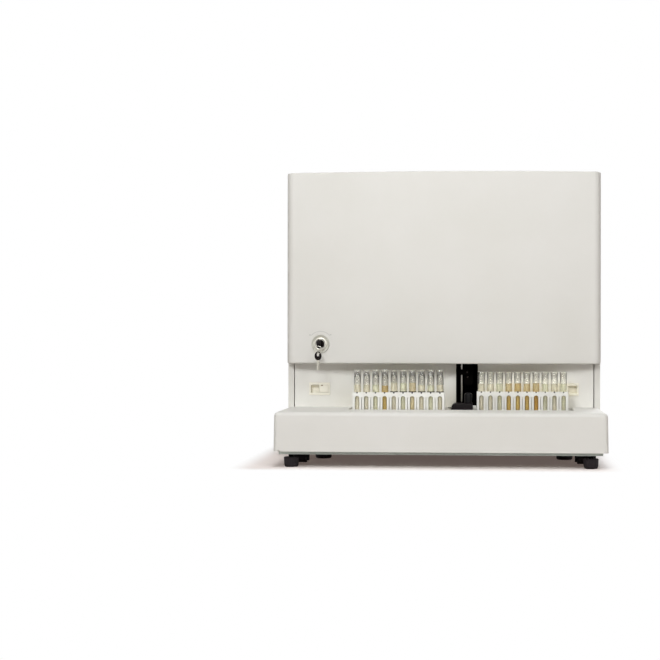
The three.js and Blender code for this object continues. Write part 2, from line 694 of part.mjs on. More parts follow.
// Door lock: escutcheon, barrel with its cam, key, split ring and spare key
const doorLock = new THREE.Group();
doorLock.position.set(lockX, lockY, lockZ);
doorLock.rotation.z = lockSlope;
analyzer.add(doorLock);

// Distances along the lock's axis run inward from the face of the cover
const ringBack = lock.ringSeat - seatGap;
const ringFront = ringBack - lock.ringHeight;
const barrelFront = ringFront - lock.barrelProud;
const panelBack = bodyFront + body.sheet;
const camFront = (panelBack + lock.camBehind - lockY) / Math.cos(lockSlope);

function lockRingSolid() {
  const bore = lock.barrelRadius + seatGap;
  return turned([
    [bore, ringFront], [lock.ringInner, ringFront], [lock.ringRadius, ringBack - lock.ringSeat],
    [lock.ringRadius, ringBack], [bore, ringBack], [bore, ringFront],
  ], fineSides, 'y');
}

function barrelSolid() {
  const shank = bar(lock.barrelRadius, [barrelFront, camFront], fineSides, 'y');
  const cam = block([-lock.camLength, lock.camWidth / 2], [camFront, camFront + lock.camThickness],
    about(0, lock.camWidth));
  const keyway = block(about(0, lock.keywayWidth), [barrelFront - overrun, barrelFront + lock.keywayDepth],
    about(0, lock.keywayHeight));
  return cut(join(shank, cam), keyway);
}

const bowCentre = barrelFront - key.bowStand - key.bowRadius;

function keySolid(blade) {
  const bow = bar(key.bowRadius, about(0, key.bowThickness), roundSides, 'x');
  const shank = block(about(0, key.bladeThickness), [0, key.bowRadius + blade], about(0, key.bladeWidth));
  return join(bow, shank);
}

function doorKeySolid() {
  const blade = key.bowStand + lock.keywayDepth - seatGap;
  const hole = bar(key.holeRadius, about(0, key.bowThickness + overrun), roundSides, 'x',
    [0, -key.holeForward, -key.holeDrop]);
  return cut(keySolid(blade), hole);
}

function keyRingSolid() {
  const torus = new THREE.TorusGeometry(keyRing.radius, keyRing.wire, smallSides, fineSides);
  torus.rotateX(Math.PI / 2);
  return solidOf(torus);
}

function spareKeySolid() {
  const drop = key.bowRadius - key.holeRadius - key.holeDrop;
  const bow = bar(key.bowRadius, about(0, key.bowThickness), roundSides, 'x', [0, 0, -drop]);
  const blade = block(about(0, key.bladeThickness), about(0, key.bladeWidth),
    [-drop - key.bowRadius - key.spareBlade, -drop]);
  const hole = bar(key.holeRadius, about(0, key.bowThickness + overrun), roundSides, 'x');
  return cut(join(bow, blade), hole);
}

const ringY = bowCentre - key.holeForward;
const ringZ = -key.holeDrop - keyRing.sag - keyRing.radius;
materialMesh('lock_ring', lockRingSolid(), chromeSteel, doorLock);
materialMesh('lock_barrel', barrelSolid(), chromeSteel, doorLock);
materialMesh('door_key', doorKeySolid(), blackPlastic, doorLock, [0, bowCentre, 0]);
materialMesh('key_ring', keyRingSolid(), bareSteel, doorLock, [0, ringY, ringZ]);
materialMesh('spare_key', spareKeySolid(), blackPlastic, doorLock,
  [0, ringY, ringZ - keyRing.radius - keyRing.sag]);

// Levelling feet: a rubber-shod pad on a threaded stem through the chassis
function levellingFootSolid() {
  const foot = levellingFoot;
  return turned([
    [0, 0], [foot.radius - foot.edge, 0], [foot.radius - foot.taper, foot.edge], [foot.radius, foot.height],
    [foot.stemRadius, foot.height], [foot.stemRadius, foot.height + foot.stemHeight],
    [0, foot.height + foot.stemHeight],
  ], fineSides);
}

// Rubber feet: fixed blocks under the main unit
function rubberFootSolid() {
  const foot = rubberFoot;
  return turned([
    [0, 0], [foot.radius - foot.taper, 0], [foot.radius, foot.height], [0, foot.height],
  ], fineSides);
}

// Casters: a fork that swivels on its pin and a broad wheel on an axle
function casterForkSolid() {
  const top = caster.plateThickness;
  const legX = caster.wheelWidth / 2 + runGap;
  const axleZ = -caster.wheelRadius - runGap;
  const legs = [-1, 1].map((side) => {
    const span = [side * legX, side * (legX + caster.legThickness)].sort((a, b) => a - b);
    return block(span, about(caster.trail, caster.legLength), [axleZ - caster.legLength / 2, top]);
  });
  const reach = legX + caster.legThickness / 2;
  return join(
    bar(caster.plateRadius, [0, top], fineSides),
    bar(caster.pinRadius, [0, top + caster.pinHeight], roundSides),
    ...legs,
    bar(caster.axleRadius, [-reach, reach], tubeSides, 'x', [0, caster.trail, axleZ]),
  );
}

function casterWheelSolid() {
  const half = caster.wheelWidth / 2;
  const bore = caster.axleRadius + seatGap;
  return turned([
    [bore, -half], [caster.wheelRadius, -half], [caster.wheelRadius, half], [bore, half], [bore, -half],
  ], fineSides, 'x');
}

const plateBottom = rubberFoot.height - seatGap - caster.plateThickness;

for (const [name, side] of [['left', -1], ['right', 1]]) {
  materialMesh(`front_${name}_foot`, levellingFootSolid(), darkRubber, analyzer,
    [side * levellingX, footY, 0]);
  materialMesh(`mid_${name}_foot`, rubberFootSolid(), darkRubber, analyzer,
    [side * rubberX, bodyFront + rubberFoot.midBack, 0]);
  materialMesh(`rear_${name}_foot`, rubberFootSolid(), darkRubber, analyzer,
    [side * rubberX, backY - rubberFoot.rearMargin, 0]);
  const swivel = new THREE.Group();
  swivel.position.set(side * casterX, casterY, plateBottom);
  materialMesh(`${name}_caster_fork`, casterForkSolid(), darkPaint, swivel);
  materialMesh(`${name}_caster_wheel`, casterWheelSolid(), darkRubber, swivel,
    [0, caster.trail, -caster.wheelRadius - runGap]);
  analyzer.add(swivel);
}

// Microscope: base, column, arm, objective over the flow cell, and the camera on its tube
function microscopeSolid() {
  const scope = microscope;
  const armTop = scope.columnHeight;
  const armBottom = armTop - scope.armHeight;
  const columnFront = (scope.baseDepth - 2 * scope.columnDepth) / 2;
  const tip = armBottom - scope.objectiveLength;
  return join(
    block(about(0, scope.baseWidth), about(0, scope.baseDepth), [0, scope.baseHeight]),
    block(about(0, scope.columnWidth), [columnFront, columnFront + scope.columnDepth], [0, armTop]),
    block(about(0, scope.columnWidth), [columnFront - scope.armReach, columnFront + scope.columnDepth],
      [armBottom, armTop]),
    block(about(0, scope.stageWidth), [-scope.stageDepth / 2, columnFront],
      about(scope.stageRise, scope.stageHeight)),
    block(about(0, scope.cellWidth), about(0, scope.cellWidth),
      [scope.stageRise, scope.stageRise + scope.stageHeight / 2 + scope.cellHeight]),
    turned([[0, tip], [scope.objectiveTip, tip], [scope.objectiveRadius, tip + scope.objectiveRadius],
      [scope.objectiveRadius, armBottom + overrun], [0, armBottom + overrun]], roundSides),
    bar(scope.tubeRadius, [armTop - overrun, armTop + scope.tubeHeight], roundSides),
    block(about(0, scope.cameraSize), about(0, scope.cameraSize),
      [armTop + scope.tubeHeight - overrun, armTop + scope.tubeHeight + scope.cameraHeight]),
  );
}
materialMesh('microscope', microscopeSolid(), greyPlastic, analyzer,
  [microscope.x, microscope.y, chassisTop]);

// Syringe pump: an upright plate with the glass barrel held in front of it
function pumpSolid() {
  const barrelTop = pump.barrelBottom + pump.barrelLength;
  const place = [0, -pump.barrelStand, 0];
  const plateFront = -pump.plateDepth / 2;
  const barrel = turned([
    [pump.barrelBore, pump.barrelBottom], [pump.barrelRadius, pump.barrelBottom],
    [pump.barrelRadius, barrelTop], [0, barrelTop], [0, barrelTop - pump.barrelCap],
    [pump.barrelBore, barrelTop - pump.barrelCap], [pump.barrelBore, pump.barrelBottom],
  ], roundSides, 'z', place);
  const bore = bar(pump.barrelBore, [-overrun, barrelTop - pump.barrelCap], roundSides, 'z', place);
  const bracket = block(about(0, pump.bracketWidth), [-pump.barrelStand, plateFront],
    [barrelTop - pump.barrelCap - pump.bracketHeight, barrelTop - pump.barrelCap]);
  return join(
    block(about(0, pump.plateWidth), about(0, pump.footDepth), [0, pump.footHeight]),
    block(about(0, pump.plateWidth), [plateFront, -plateFront], [0, pump.plateHeight]),
    barrel,
    cut(bracket, bore),
  );
}
materialMesh('syringe_pump', pumpSolid(), bareSteel, analyzer, [pump.x, pump.y, chassisTop]);

// Plunger: piston, rod and the shoe that runs down the plate
const pistonTop = pump.barrelBottom + pump.barrelLength - pump.barrelCap - plunger.topGap;

function plungerSolid() {
  const place = [0, -pump.barrelStand, 0];
  const bottom = -plunger.pistonLength - plunger.rodLength;
  return join(
    bar(pump.barrelBore - seatGap, [-plunger.pistonLength, 0], roundSides, 'z', place),
    bar(plunger.rodRadius, [bottom, -plunger.pistonLength / 2], tubeSides, 'z', place),
    block(about(0, plunger.shoeWidth),
      [-pump.barrelStand - plunger.shoeHeight / 2, -pump.plateDepth / 2 - seatGap],
      [bottom - plunger.shoeHeight, bottom]),
  );
}
materialMesh('syringe_plunger', plungerSolid(), blackPlastic, analyzer,
  [pump.x, pump.y, chassisTop + pistonTop]);

// Cooling fan: pitched blades on a hub that turns on the rear panel's pin
function fanSolid() {
  const blades = Array.from({ length: bladeCount }, (_, blade) => {
    const long = fan.rotorRadius - fan.rotorHub + overrun;
    const vane = new THREE.BoxGeometry(long, fan.bladeThickness, fan.rotorDepth);
    vane.rotateX(fan.bladePitch);
    vane.translate(fan.rotorRadius - long / 2, 0, 0);
    vane.rotateZ((blade * 2 * Math.PI) / bladeCount);
    vane.rotateX(Math.PI / 2);
    return solidOf(vane);
  });
  const hub = bar(fan.rotorHub, about(0, fan.rotorDepth), fineSides, 'y');
  const bore = bar(fan.pinRadius + seatGap, about(0, fan.rotorDepth + 2 * overrun), roundSides, 'y');
  return cut(join(hub, ...blades), bore);
}
const fanY = rearPanelFront - runGap - fan.rotorDepth / 2;
materialMesh('cooling_fan', fanSolid(), blackPlastic, analyzer, [fanX, fanY, fanZ]);

// Power inlet: a plate with the plug's socket, its three pins and the switch window
const rockerY = inlet.plate + seatGap - rocker.depth + rocker.proud;

function inletSolid() {
  const face = inlet.plate;
  const socketZ = -inlet.socketDrop;
  const windowZ = inlet.windowRise;
  const shell = join(
    block(about(0, inlet.width), [seatGap, seatGap + face], about(0, inlet.tall)),
    block(about(0, inlet.tubWidth), [-inlet.tubDepth, seatGap + face], about(0, inlet.tubTall)),
  );
  const socketEnd = seatGap + face - inlet.socketDepth;
  const socket = block(about(0, inlet.socketWidth), [socketEnd, face + overrun],
    about(socketZ, inlet.socketTall));
  const window = block(about(0, inlet.windowWidth), [seatGap + face - inlet.windowDepth, face + overrun],
    about(windowZ, inlet.windowTall));
  const pinY = [socketEnd - overrun, socketEnd + inlet.pinLength];
  const pins = [[-inlet.pinSpread, 0], [0, inlet.earthRise], [inlet.pinSpread, 0]].map(([x, rise]) => (
    block(about(x, inlet.pinWidth), pinY, about(socketZ + rise, inlet.pinTall))));
  const bearing = bar(rocker.pinRadius + seatGap,
    about(0, inlet.windowWidth + 2 * rocker.pinLength + 2 * seatGap), tubeSides, 'x', [0, rockerY, windowZ]);
  return join(cut(shell, socket, window, bearing), ...pins);
}
const inletPlace = [inletX, rearPanelBack, inletZ];
materialMesh('power_inlet', inletSolid(), blackPlastic, analyzer, inletPlace);

// Power switch: a rocker on two short pins, pressed in at one end
function rockerSolid() {
  const half = (inlet.windowTall - 2 * runGap) / 2 - rocker.proud;
  const lift = half * Math.tan(rocker.tilt);
  const profile = outline([[0, -rocker.pinRadius - runGap], [rocker.depth - lift, -half],
    [rocker.depth, 0], [rocker.depth - lift, half], [0, rocker.pinRadius + runGap]]);
  const wide = inlet.windowWidth - 2 * runGap;
  return join(
    prism(profile, 'x', about(0, wide)),
    bar(rocker.pinRadius, about(0, inlet.windowWidth + 2 * rocker.pinLength), tubeSides, 'x'),
  );
}
const rockerMesh = materialMesh('power_switch', rockerSolid(), blackPlastic, analyzer,
  [inletPlace[0], inletPlace[1] + rockerY, inletPlace[2] + inlet.windowRise]);
rockerMesh.rotation.x = rocker.tilt;

export default analyzer;
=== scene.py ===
import bpy, bmesh, math
from mathutils import Matrix, Vector


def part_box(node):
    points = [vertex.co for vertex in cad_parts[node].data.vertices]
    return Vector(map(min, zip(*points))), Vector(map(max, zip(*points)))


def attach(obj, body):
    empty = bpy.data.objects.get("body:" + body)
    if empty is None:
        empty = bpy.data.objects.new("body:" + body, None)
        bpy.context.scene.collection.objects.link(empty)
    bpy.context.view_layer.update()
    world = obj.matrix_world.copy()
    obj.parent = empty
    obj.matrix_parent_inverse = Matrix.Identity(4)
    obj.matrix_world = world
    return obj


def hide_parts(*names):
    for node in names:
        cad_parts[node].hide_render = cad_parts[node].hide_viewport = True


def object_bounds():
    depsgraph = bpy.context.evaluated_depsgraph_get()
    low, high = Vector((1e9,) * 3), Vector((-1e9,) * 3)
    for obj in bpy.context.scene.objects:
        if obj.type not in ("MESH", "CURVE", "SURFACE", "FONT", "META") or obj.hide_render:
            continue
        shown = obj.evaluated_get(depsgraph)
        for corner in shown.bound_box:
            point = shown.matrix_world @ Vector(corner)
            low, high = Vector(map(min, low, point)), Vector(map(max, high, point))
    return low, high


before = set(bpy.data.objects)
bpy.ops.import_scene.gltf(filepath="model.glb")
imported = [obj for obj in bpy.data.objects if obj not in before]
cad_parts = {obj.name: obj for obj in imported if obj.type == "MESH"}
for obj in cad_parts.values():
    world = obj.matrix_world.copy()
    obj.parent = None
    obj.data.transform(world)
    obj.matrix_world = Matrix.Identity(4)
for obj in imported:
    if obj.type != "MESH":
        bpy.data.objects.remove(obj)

cadBox = [list(corner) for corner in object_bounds()]
scene = bpy.context.scene
scene.view_settings.view_transform = 'Standard'


# Small tools

def mm(value):
    return value / 1000


def point(x, y, z):
    return Vector((mm(x), mm(y), mm(z)))


def edges(node):
    # lowest and highest corner of a CAD node, in millimetres
    low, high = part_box(node)
    return low * 1000, high * 1000


def centre(node):
    low, high = edges(node)
    return (low + high) / 2


def linear(hexColour):
    # sRGB hex to the linear colour that the shaders work in
    parts = [int(hexColour[i:i + 2], 16) / 255 for i in (1, 3, 5)]
    return [p / 12.92 if p < 0.04045 else ((p + 0.055) / 1.055) ** 2.4 for p in parts] + [1]


def addNode(tree, kind, inputs={}, **props):
    # an input takes a plain value, a socket, or a node, which gives its first output
    node = tree.nodes.new('ShaderNode' + kind)
    for key, value in props.items():
        setattr(node, key, value)
    for key, value in inputs.items():
        if isinstance(value, bpy.types.Node):
            value = value.outputs[0]
        if isinstance(value, bpy.types.NodeSocket):
            tree.links.new(value, node.inputs[key])
        else:
            node.inputs[key].default_value = value
    return node


# Materials

# what holds where a material says nothing else: sizes in millimetres, and the middle range of the noise
finish = {'driftMm': 90, 'driftRange': (0.35, 0.65), 'speck': 0.03, 'speckMm': 1.2, 'cloudMm': 35,
          'glossSpread': 0.04, 'grainMm': 1.4, 'bump': 0.12, 'bumpMm': 0.12, 'ior': 1.5, 'lineMm': 0.5,
          'lineLongMm': 25, 'lineSpread': 0.3, 'lineBump': 0.08, 'lineBumpMm': 0.03, 'streakMm': 9,
          'streakSpread': 0.03, 'paintedLightBlendMm': 12}
noiseRange = {'From Min': 0.3, 'From Max': 0.7}


def emptyMaterial(name):
    # with the coordinates of the object that wears it
    material = bpy.data.materials.new(name)
    material.use_nodes = True
    material.node_tree.nodes.clear()
    return material, material.node_tree, addNode(material.node_tree, 'TexCoord').outputs['Object']


def driftingColour(tree, coords, colours, driftMm):
    # two close colours mixed by soft noise, whose patches are about driftMm across
    noise = addNode(tree, 'TexNoise', {'Scale': 1 / mm(driftMm), 'Detail': 3, 'Vector': coords})
    ramp = addNode(tree, 'ValToRGB', {'Fac': noise})
    for element, place, colour in zip(ramp.color_ramp.elements, finish['driftRange'], colours):
        element.position, element.color = place, linear(colour)
    return ramp


def coated(name, *colours, **look):
    # opaque plastic, paint or rubber: colour drift, fine specks, uneven gloss and a moulded or sprayed grain
    material, tree, coords = emptyMaterial(name)
    look = {**finish, **look}
    specks, clouds, grain = [
        addNode(tree, 'TexNoise', {'Scale': 1 / mm(look[size]), 'Detail': detail, 'Vector': coords})
        for size, detail in (('speckMm', 2), ('cloudMm', 4), ('grainMm', 3))]
    shade = addNode(tree, 'MapRange', {**noiseRange, 'To Min': 1 - look['speck'], 'Value': specks})
    tint = driftingColour(tree, coords, colours, look['driftMm'])
    tint = addNode(tree, 'Mix', {0: 1.0, 6: tint, 7: shade}, data_type='RGBA', blend_type='MULTIPLY')
    rough, spread = look['roughness'], look['glossSpread']
    gloss = addNode(tree, 'MapRange', {
        **noiseRange, 'To Min': rough - spread, 'To Max': rough + spread, 'Value': clouds})
    bump = addNode(tree, 'Bump', {'Strength': look['bump'], 'Distance': mm(look['bumpMm']), 'Height': grain})
    shader = addNode(tree, 'BsdfPrincipled', {
        'IOR': look['ior'], 'Base Color': tint.outputs[2], 'Roughness': gloss, 'Normal': bump})
    addNode(tree, 'OutputMaterial', {'Surface': shader})
    return material


def bareMetal(name, *colours, **look):
    # ground, brushed or plated metal: fine upright lines break up the gloss
    material, tree, coords = emptyMaterial(name)
    across, along = 1 / mm(finish['lineMm']), 1 / mm(finish['lineLongMm'])
    stretched = addNode(tree, 'Mapping', {'Scale': (across, across, along), 'Vector': coords})
    lines = addNode(tree, 'TexNoise', {'Scale': 1.0, 'Detail': 3, 'Vector': stretched})
    rough, spread = look['roughness'], finish['lineSpread']
    gloss = addNode(tree, 'MapRange', {
        **noiseRange, 'To Min': rough * (1 - spread), 'To Max': rough * (1 + spread), 'Value': lines})
    bump = addNode(tree, 'Bump', {
        'Strength': finish['lineBump'], 'Distance': mm(finish['lineBumpMm']), 'Height': lines})
    tint = driftingColour(tree, coords, colours, look['driftMm'])
    shader = addNode(tree, 'BsdfPrincipled', {
        'Metallic': 1.0, 'Base Color': tint, 'Roughness': gloss, 'Normal': bump})
    addNode(tree, 'OutputMaterial', {'Surface': shader})
    return material


def seeThrough(name, *colours, **look):
    # glass or liquid: lamp light goes straight through, so that what stands behind isn't left dark
    material, tree, coords = emptyMaterial(name)
    streaks = addNode(tree, 'TexNoise', {'Scale': 1 / mm(finish['streakMm']), 'Detail': 2, 'Vector': coords})
    rough = look['roughness']
    gloss = addNode(tree, 'MapRange', {
        'From Min': 0.35, 'From Max': 0.75, 'To Min': rough, 'To Max': rough + finish['streakSpread'],
        'Value': streaks})
    tint = driftingColour(tree, coords, colours, look['driftMm'])
    # liquid: its colours below the rack's top are painted brighter than its upper colour, as painted light
    # against the rack's shade
    if 'upper' in look:
        height, start = addNode(tree, 'SeparateXYZ', {0: coords}).outputs['Z'], look['settledTo']
        aboveRack = addNode(tree, 'MapRange', {
            'From Min': mm(start), 'From Max': mm(start + finish['paintedLightBlendMm']), 'Value': height})
        upper = linear(look['upper'])
        tint = addNode(tree, 'Mix', {0: aboveRack, 6: tint, 7: upper}, data_type='RGBA').outputs[2]
    shader = addNode(tree, 'BsdfPrincipled', {
        'Transmission Weight': look['clearness'], 'IOR': look['ior'], 'Base Color': tint, 'Roughness': gloss})
    passing = addNode(tree, 'BsdfTransparent', {'Color': linear(look['shade'])})
    shadowRay = addNode(tree, 'LightPath').outputs['Is Shadow Ray']
    either = addNode(tree, 'MixShader', {0: shadowRay, 1: shader, 2: passing})
    addNode(tree, 'OutputMaterial', {'Surface': either})
    return material


# ABS, moulded and sprayed with a fine texture coat: matt, pale warm grey, its grain too fine to count
texturedAbs = coated('texturedAbsMoulded', '#dad8d2', '#d7d5ce', driftMm=160, speck=0.02, roughness=0.6,
    grainMm=1.3, bump=0.1, ior=1.4)
# sheet steel under powder coat: warm white, with a faint orange peel
sprayed = {'driftMm': 120, 'speck': 0.02, 'roughness': 0.46, 'grainMm': 2.2, 'bump': 0.16}
powderCoat = coated('warmWhitePowderCoat', '#e5e3dc', '#e1dfd6', **sprayed)
# the same powder coat, painted paler as painted light: keeps the wall behind the tubes bright in the shade of
# the cover
recessLightPowderCoat = coated('paintedLightRecessCoat', '#efede6', '#ebe9e1', **sprayed)
# folded steel pan under a greenish grey primer coat: flat and slightly dusty
primerCoat = coated('greenGreyPrimerSteel', '#a9b0a9', '#9ca39c', speck=0.05, roughness=0.55, grainMm=1.8,
    bump=0.14)
# ABS moulded in ivory in a polished tool: smooth, with soft wide highlights
ivoryAbs = coated('ivoryAbsPolished', '#f7f3e4', '#f4efdf', driftMm=25, speck=0.02, roughness=0.36,
    grainMm=1.6, bump=0.05)
# polypropylene moulded in white: waxy, with soft sink marks
rackPolypropylene = coated('whitePolypropyleneMoulded', '#eeede7', '#e9e7e0', driftMm=18, speck=0.015,
    roughness=0.34, grainMm=2.5, bump=0.08)
# ABS moulded in black: a soft sheen over a faint grain
blackAbs = coated('blackAbsMoulded', '#0e0809', '#140d0e', driftMm=20, speck=0.2, roughness=0.5,
    grainMm=0.9, bump=0.1, ior=1.25)
# steel under matt black spray, drawn blacker than the spray itself: partly painted shade, so the bay swallows
# the light
mattBlackAndShade = coated('mattBlackSprayAndShade', '#040302', '#070504', driftMm=30, speck=0.2, roughness=0.8,
    grainMm=1.2, bump=0.12, ior=1.1)
# moulded rubber: dull, dusty in its grain
footRubber = coated('blackRubberMoulded', '#191215', '#20181b', driftMm=14, speck=0.25, roughness=0.66,
    grainMm=1.1, bump=0.25, ior=1.35)
# acetal turned to a dark grey roller: a satin skin that catches a pale edge light
greyAcetal = coated('greyAcetalTurned', '#131313', '#1a1919', driftMm=9, speck=0.08, roughness=0.34,
    grainMm=0.8, bump=0.04, ior=1.2)
# nylon moulded in white: milky and even
whiteNylon = coated('whiteNylonMoulded', '#e6e4da', '#dedbd0', driftMm=8, roughness=0.4)
# ABS for the lock's matt dish, painted a shade darker than the cover round it: painted shade in the recess of
# the dish
dishShadeAbs = coated('paintedShadeDishAbs', '#cdcbc0', '#c6c4b8', driftMm=8, roughness=0.55, ior=1.4)
# the cover's ABS on its underside, painted brown-grey and dull as painted shade, so the gap under it stays
# dark
undersideShadeAbs = coated('paintedShadeUndersideAbs', '#463823', '#3f321f', driftMm=30, roughness=0.7, ior=1.4)
# ABS moulded in brown: small dull marks
brownAbs = coated('brownAbsMoulded', '#8c7a66', '#83725e', driftMm=4, roughness=0.5)
# pad-printed grey ink: flat, a shade darker than the cover under it
greyInk = coated('greyPadPrint', '#b9b8b1', '#c2c1ba', driftMm=6, roughness=0.5)
# cast aluminium under a grey hammer coat: dimpled and half glossy
hammerCoat = coated('greyHammerCoatCasting', '#6f7378', '#666a70', driftMm=16, speck=0.08, roughness=0.4,
    grainMm=3.2, bump=0.3)
# stainless steel, ground along its length: soft grey gloss in fine lines
groundSteel = bareMetal('stainlessSteelGround', '#b3b1ac', '#a8a5a0', roughness=0.34, driftMm=12)
# brass under satin nickel plate: soft gloss, faintly warm
nickelPlate = bareMetal('nickelPlatedBrass', '#dfdbd0', '#d3cfc3', roughness=0.38, driftMm=12)
# brass plug, blackened and lacquered: near black with small sharp lights
blackenedBrass = bareMetal('brassBlackened', '#2a2624', '#37322f', roughness=0.3, driftMm=6)
# aluminium, brushed and clear anodised: an even silver with upright lines
brushedAluminium = bareMetal('aluminiumBrushedAnodised', '#c4c6c8', '#b6b8bb', roughness=0.34, driftMm=20)
# borosilicate glass, drawn: clear, with bright rims and edges
tubeGlass = seeThrough('borosilicateGlassDrawn', '#fbfaf6', '#f5f4ee', driftMm=30, shade='#f3f1ec',
    roughness=0.0, ior=1.47, clearness=0.98)
# cloudy watery liquid, milky from the front; below the top of the rack it is painted brighter, as painted
# light against the shade in the rack's windows
# (its two close colours, the light that it lets through, and the colour above the rack)
liquids = {'pale': ('#e6e1d0', '#ddd6c1', '#f6f2e8', '#d2cdbb'),
           'greenish': ('#e2e0c9', '#dad8bd', '#f2f1e1', '#d1d0bb'),
           'straw': ('#dfd2ae', '#d6c8a0', '#f3ead2', '#c9bd9e'),
           'amber': ('#d6bb6c', '#ccb05f', '#edd7a2', '#bca772'),
           'honey': ('#d6b966', '#ccae59', '#edd69e', '#c6b891'),
           'orange': ('#d9ae4c', '#cfa140', '#f0cf8a', '#c5b78e')}
samples = {}
for name, (colour, drift, shade, upper) in liquids.items():
    samples[name] = seeThrough(name + 'SampleLiquid', colour, drift, driftMm=24, shade=shade,
                               roughness=0.0, ior=1.335, clearness=0.55, upper=upper, settledTo=148)
print('materials ready:', len(bpy.data.materials))


# Mesh tools

# millimetres: how far a cutter runs past a face, the step that keeps two faces apart, and how near a vertex
# is to its own face; metres: how near two vertices are when they are one
overrun, hair, near, weld = 4, 0.01, 0.1, 1e-6


def boxMesh(low, high):
    bm = bmesh.new()
    bmesh.ops.create_cube(bm, size=1)
    low, high = Vector(low), Vector(high)
    bmesh.ops.scale(bm, vec=mm(high - low), verts=bm.verts)
    bmesh.ops.translate(bm, vec=mm(low + high) / 2, verts=bm.verts)
    return bm


def roundOff(bm, chosen, widthMm, steps):
    bmesh.ops.bevel(bm, geom=chosen, offset=mm(widthMm), offset_type='OFFSET', segments=steps, profile=0.5,
                    affect='EDGES', material=-1, clamp_overlap=True)
    return bm


def softBox(low, high, widthMm=1, steps=3):
    bm = boxMesh(low, high)
    return roundOff(bm, bm.edges[:], widthMm, steps)


def edgesWhere(bm, test):
    # the edges whose two ends both pass
    return [edge for edge in bm.edges if all(test(vert.co) for vert in edge.verts)]


def span(edge, axis):
    return abs(edge.verts[0].co[axis] - edge.verts[1].co[axis])


def rimEdges(bm, level, back, fold=40):
    # the crease around a flat top or bottom, without its rear edge
    return [edge for edge in edgesWhere(bm, lambda co: abs(co.z - mm(level)) < 10 * weld)
            if edge.calc_face_angle(0) > math.radians(fold)
            and not all(vert.co.y > mm(back - near) for vert in edge.verts)]


def cutAcross(bm, place, normal):
    # new edges all round a shape, where a plane crosses it
    bmesh.ops.bisect_plane(bm, geom=bm.verts[:] + bm.edges[:] + bm.faces[:], plane_co=place, plane_no=normal)


def spun(bm, axis, steps):
    # one full turn round an axis, closed where it meets itself
    bmesh.ops.spin(bm, geom=bm.verts[:] + bm.edges[:], cent=(0, 0, 0), axis=axis, angle=math.tau, steps=steps,
                   use_merge=True)
    bmesh.ops.remove_doubles(bm, verts=bm.verts[:], dist=weld)
    bmesh.ops.recalc_face_normals(bm, faces=bm.faces[:])
    return bm


def spunMesh(profile, steps=48):
    # a profile of (radius, height) in millimetres, spun about Z
    bm = bmesh.new()
    verts = [bm.verts.new(point(radius, 0, height)) for radius, height in profile]
    for pair in zip(verts, verts[1:]):
        bm.edges.new(pair)
    return spun(bm, (0, 0, 1), steps)


def rodMesh(radius, bottom, top, steps=32):
    # a plain round rod, or a drill
    return spunMesh([(0, bottom), (radius, bottom), (radius, top), (0, top)], steps)


def ringMesh(radius, wire, steps=40, sides=10):
    # a wire bent to a closed ring in the XZ plane
    bm = bmesh.new()
    bmesh.ops.create_circle(bm, segments=sides, radius=mm(wire))
    bmesh.ops.translate(bm, vec=point(radius, 0, 0), verts=bm.verts)
    return spun(bm, (0, 1, 0), steps)


def arc(u, v, radius, start, end, steps=6):
    turns = [math.radians(start + (end - start) * step / steps) for step in range(steps + 1)]
    return [(u + radius * math.cos(turn), v + radius * math.sin(turn)) for turn in turns]


def moved(bm, matrix):
    bmesh.ops.transform(bm, matrix=matrix, verts=bm.verts)
    return bm


def turned(degrees, axis):
    return Matrix.Rotation(math.radians(degrees), 4, axis)


def at(x, y, z, axis='z'):
    # the place of a shape, and for a spun one the axis that it lies along
    turns = {'x': turned(90, 'Y'), 'y': turned(-90, 'X'), 'z': Matrix.Identity(4)}
    return Matrix.Translation(point(x, y, z)) @ turns[axis]


def joined(*shapes):
    bm = bmesh.new()
    for shape in shapes:
        mesh = bpy.data.meshes.new('shape')
        shape.to_mesh(mesh)
        shape.free()
        bm.from_mesh(mesh)
        bpy.data.meshes.remove(mesh)
    return bm


def combined(base, tool, operation='DIFFERENCE'):
    # a cut or a join of two closed shapes
    solids = []
    for bm in (base, tool):
        solid = bpy.data.objects.new('solid', bpy.data.meshes.new('solid'))
        bm.to_mesh(solid.data)
        bm.free()
        scene.collection.objects.link(solid)
        solids.append(solid)
    cut = solids[0].modifiers.new('cut', 'BOOLEAN')
    cut.solver, cut.operation, cut.object = 'EXACT', operation, solids[1]
    bpy.context.view_layer.update()
    result = bpy.data.meshes.new_from_object(solids[0].evaluated_get(bpy.context.evaluated_depsgraph_get()))
    bm = bmesh.new()
    bm.from_mesh(result)
    bpy.data.meshes.remove(result)
    for solid in solids:
        bpy.data.meshes.remove(solid.data)
    return bm


def nodeCopy(node, flat=1):
    # the CAD node's own shape, with its loose triangles merged and its flat faces whole again
    bm = bmesh.new()
    bm.from_mesh(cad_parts[node].data)
    bmesh.ops.remove_doubles(bm, verts=bm.verts[:], dist=weld)
    bmesh.ops.dissolve_limit(bm, angle_limit=math.radians(flat), verts=bm.verts[:], edges=bm.edges[:])
    return bm


def addPiece(name, bm, material, body, stands=(), edgeMm=0, edgeSteps=2, sharp=35):
    mesh = bpy.data.meshes.new(name)
    bm.to_mesh(mesh)
    bm.free()
    mesh.materials.append(material)
    mesh.shade_smooth()
    piece = bpy.data.objects.new(name, mesh)
    scene.collection.objects.link(piece)
    if edgeMm:
        rim = piece.modifiers.new('edges', 'BEVEL')
        rim.width, rim.segments, rim.limit_method = mm(edgeMm), edgeSteps, 'ANGLE'
        rim.angle_limit = math.radians(sharp)
        piece.modifiers.new('normals', 'WEIGHTED_NORMAL').keep_sharp = True
    else:
        mesh.set_sharp_from_angle(angle=math.radians(sharp))
    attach(piece, body)
    if stands:
        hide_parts(*stands)
    return piece


def dressed(node, name, material, edgeMm, body='main_unit', edgeSteps=2):
    return addPiece(name, nodeCopy(node), material, body, [node], edgeMm, edgeSteps)


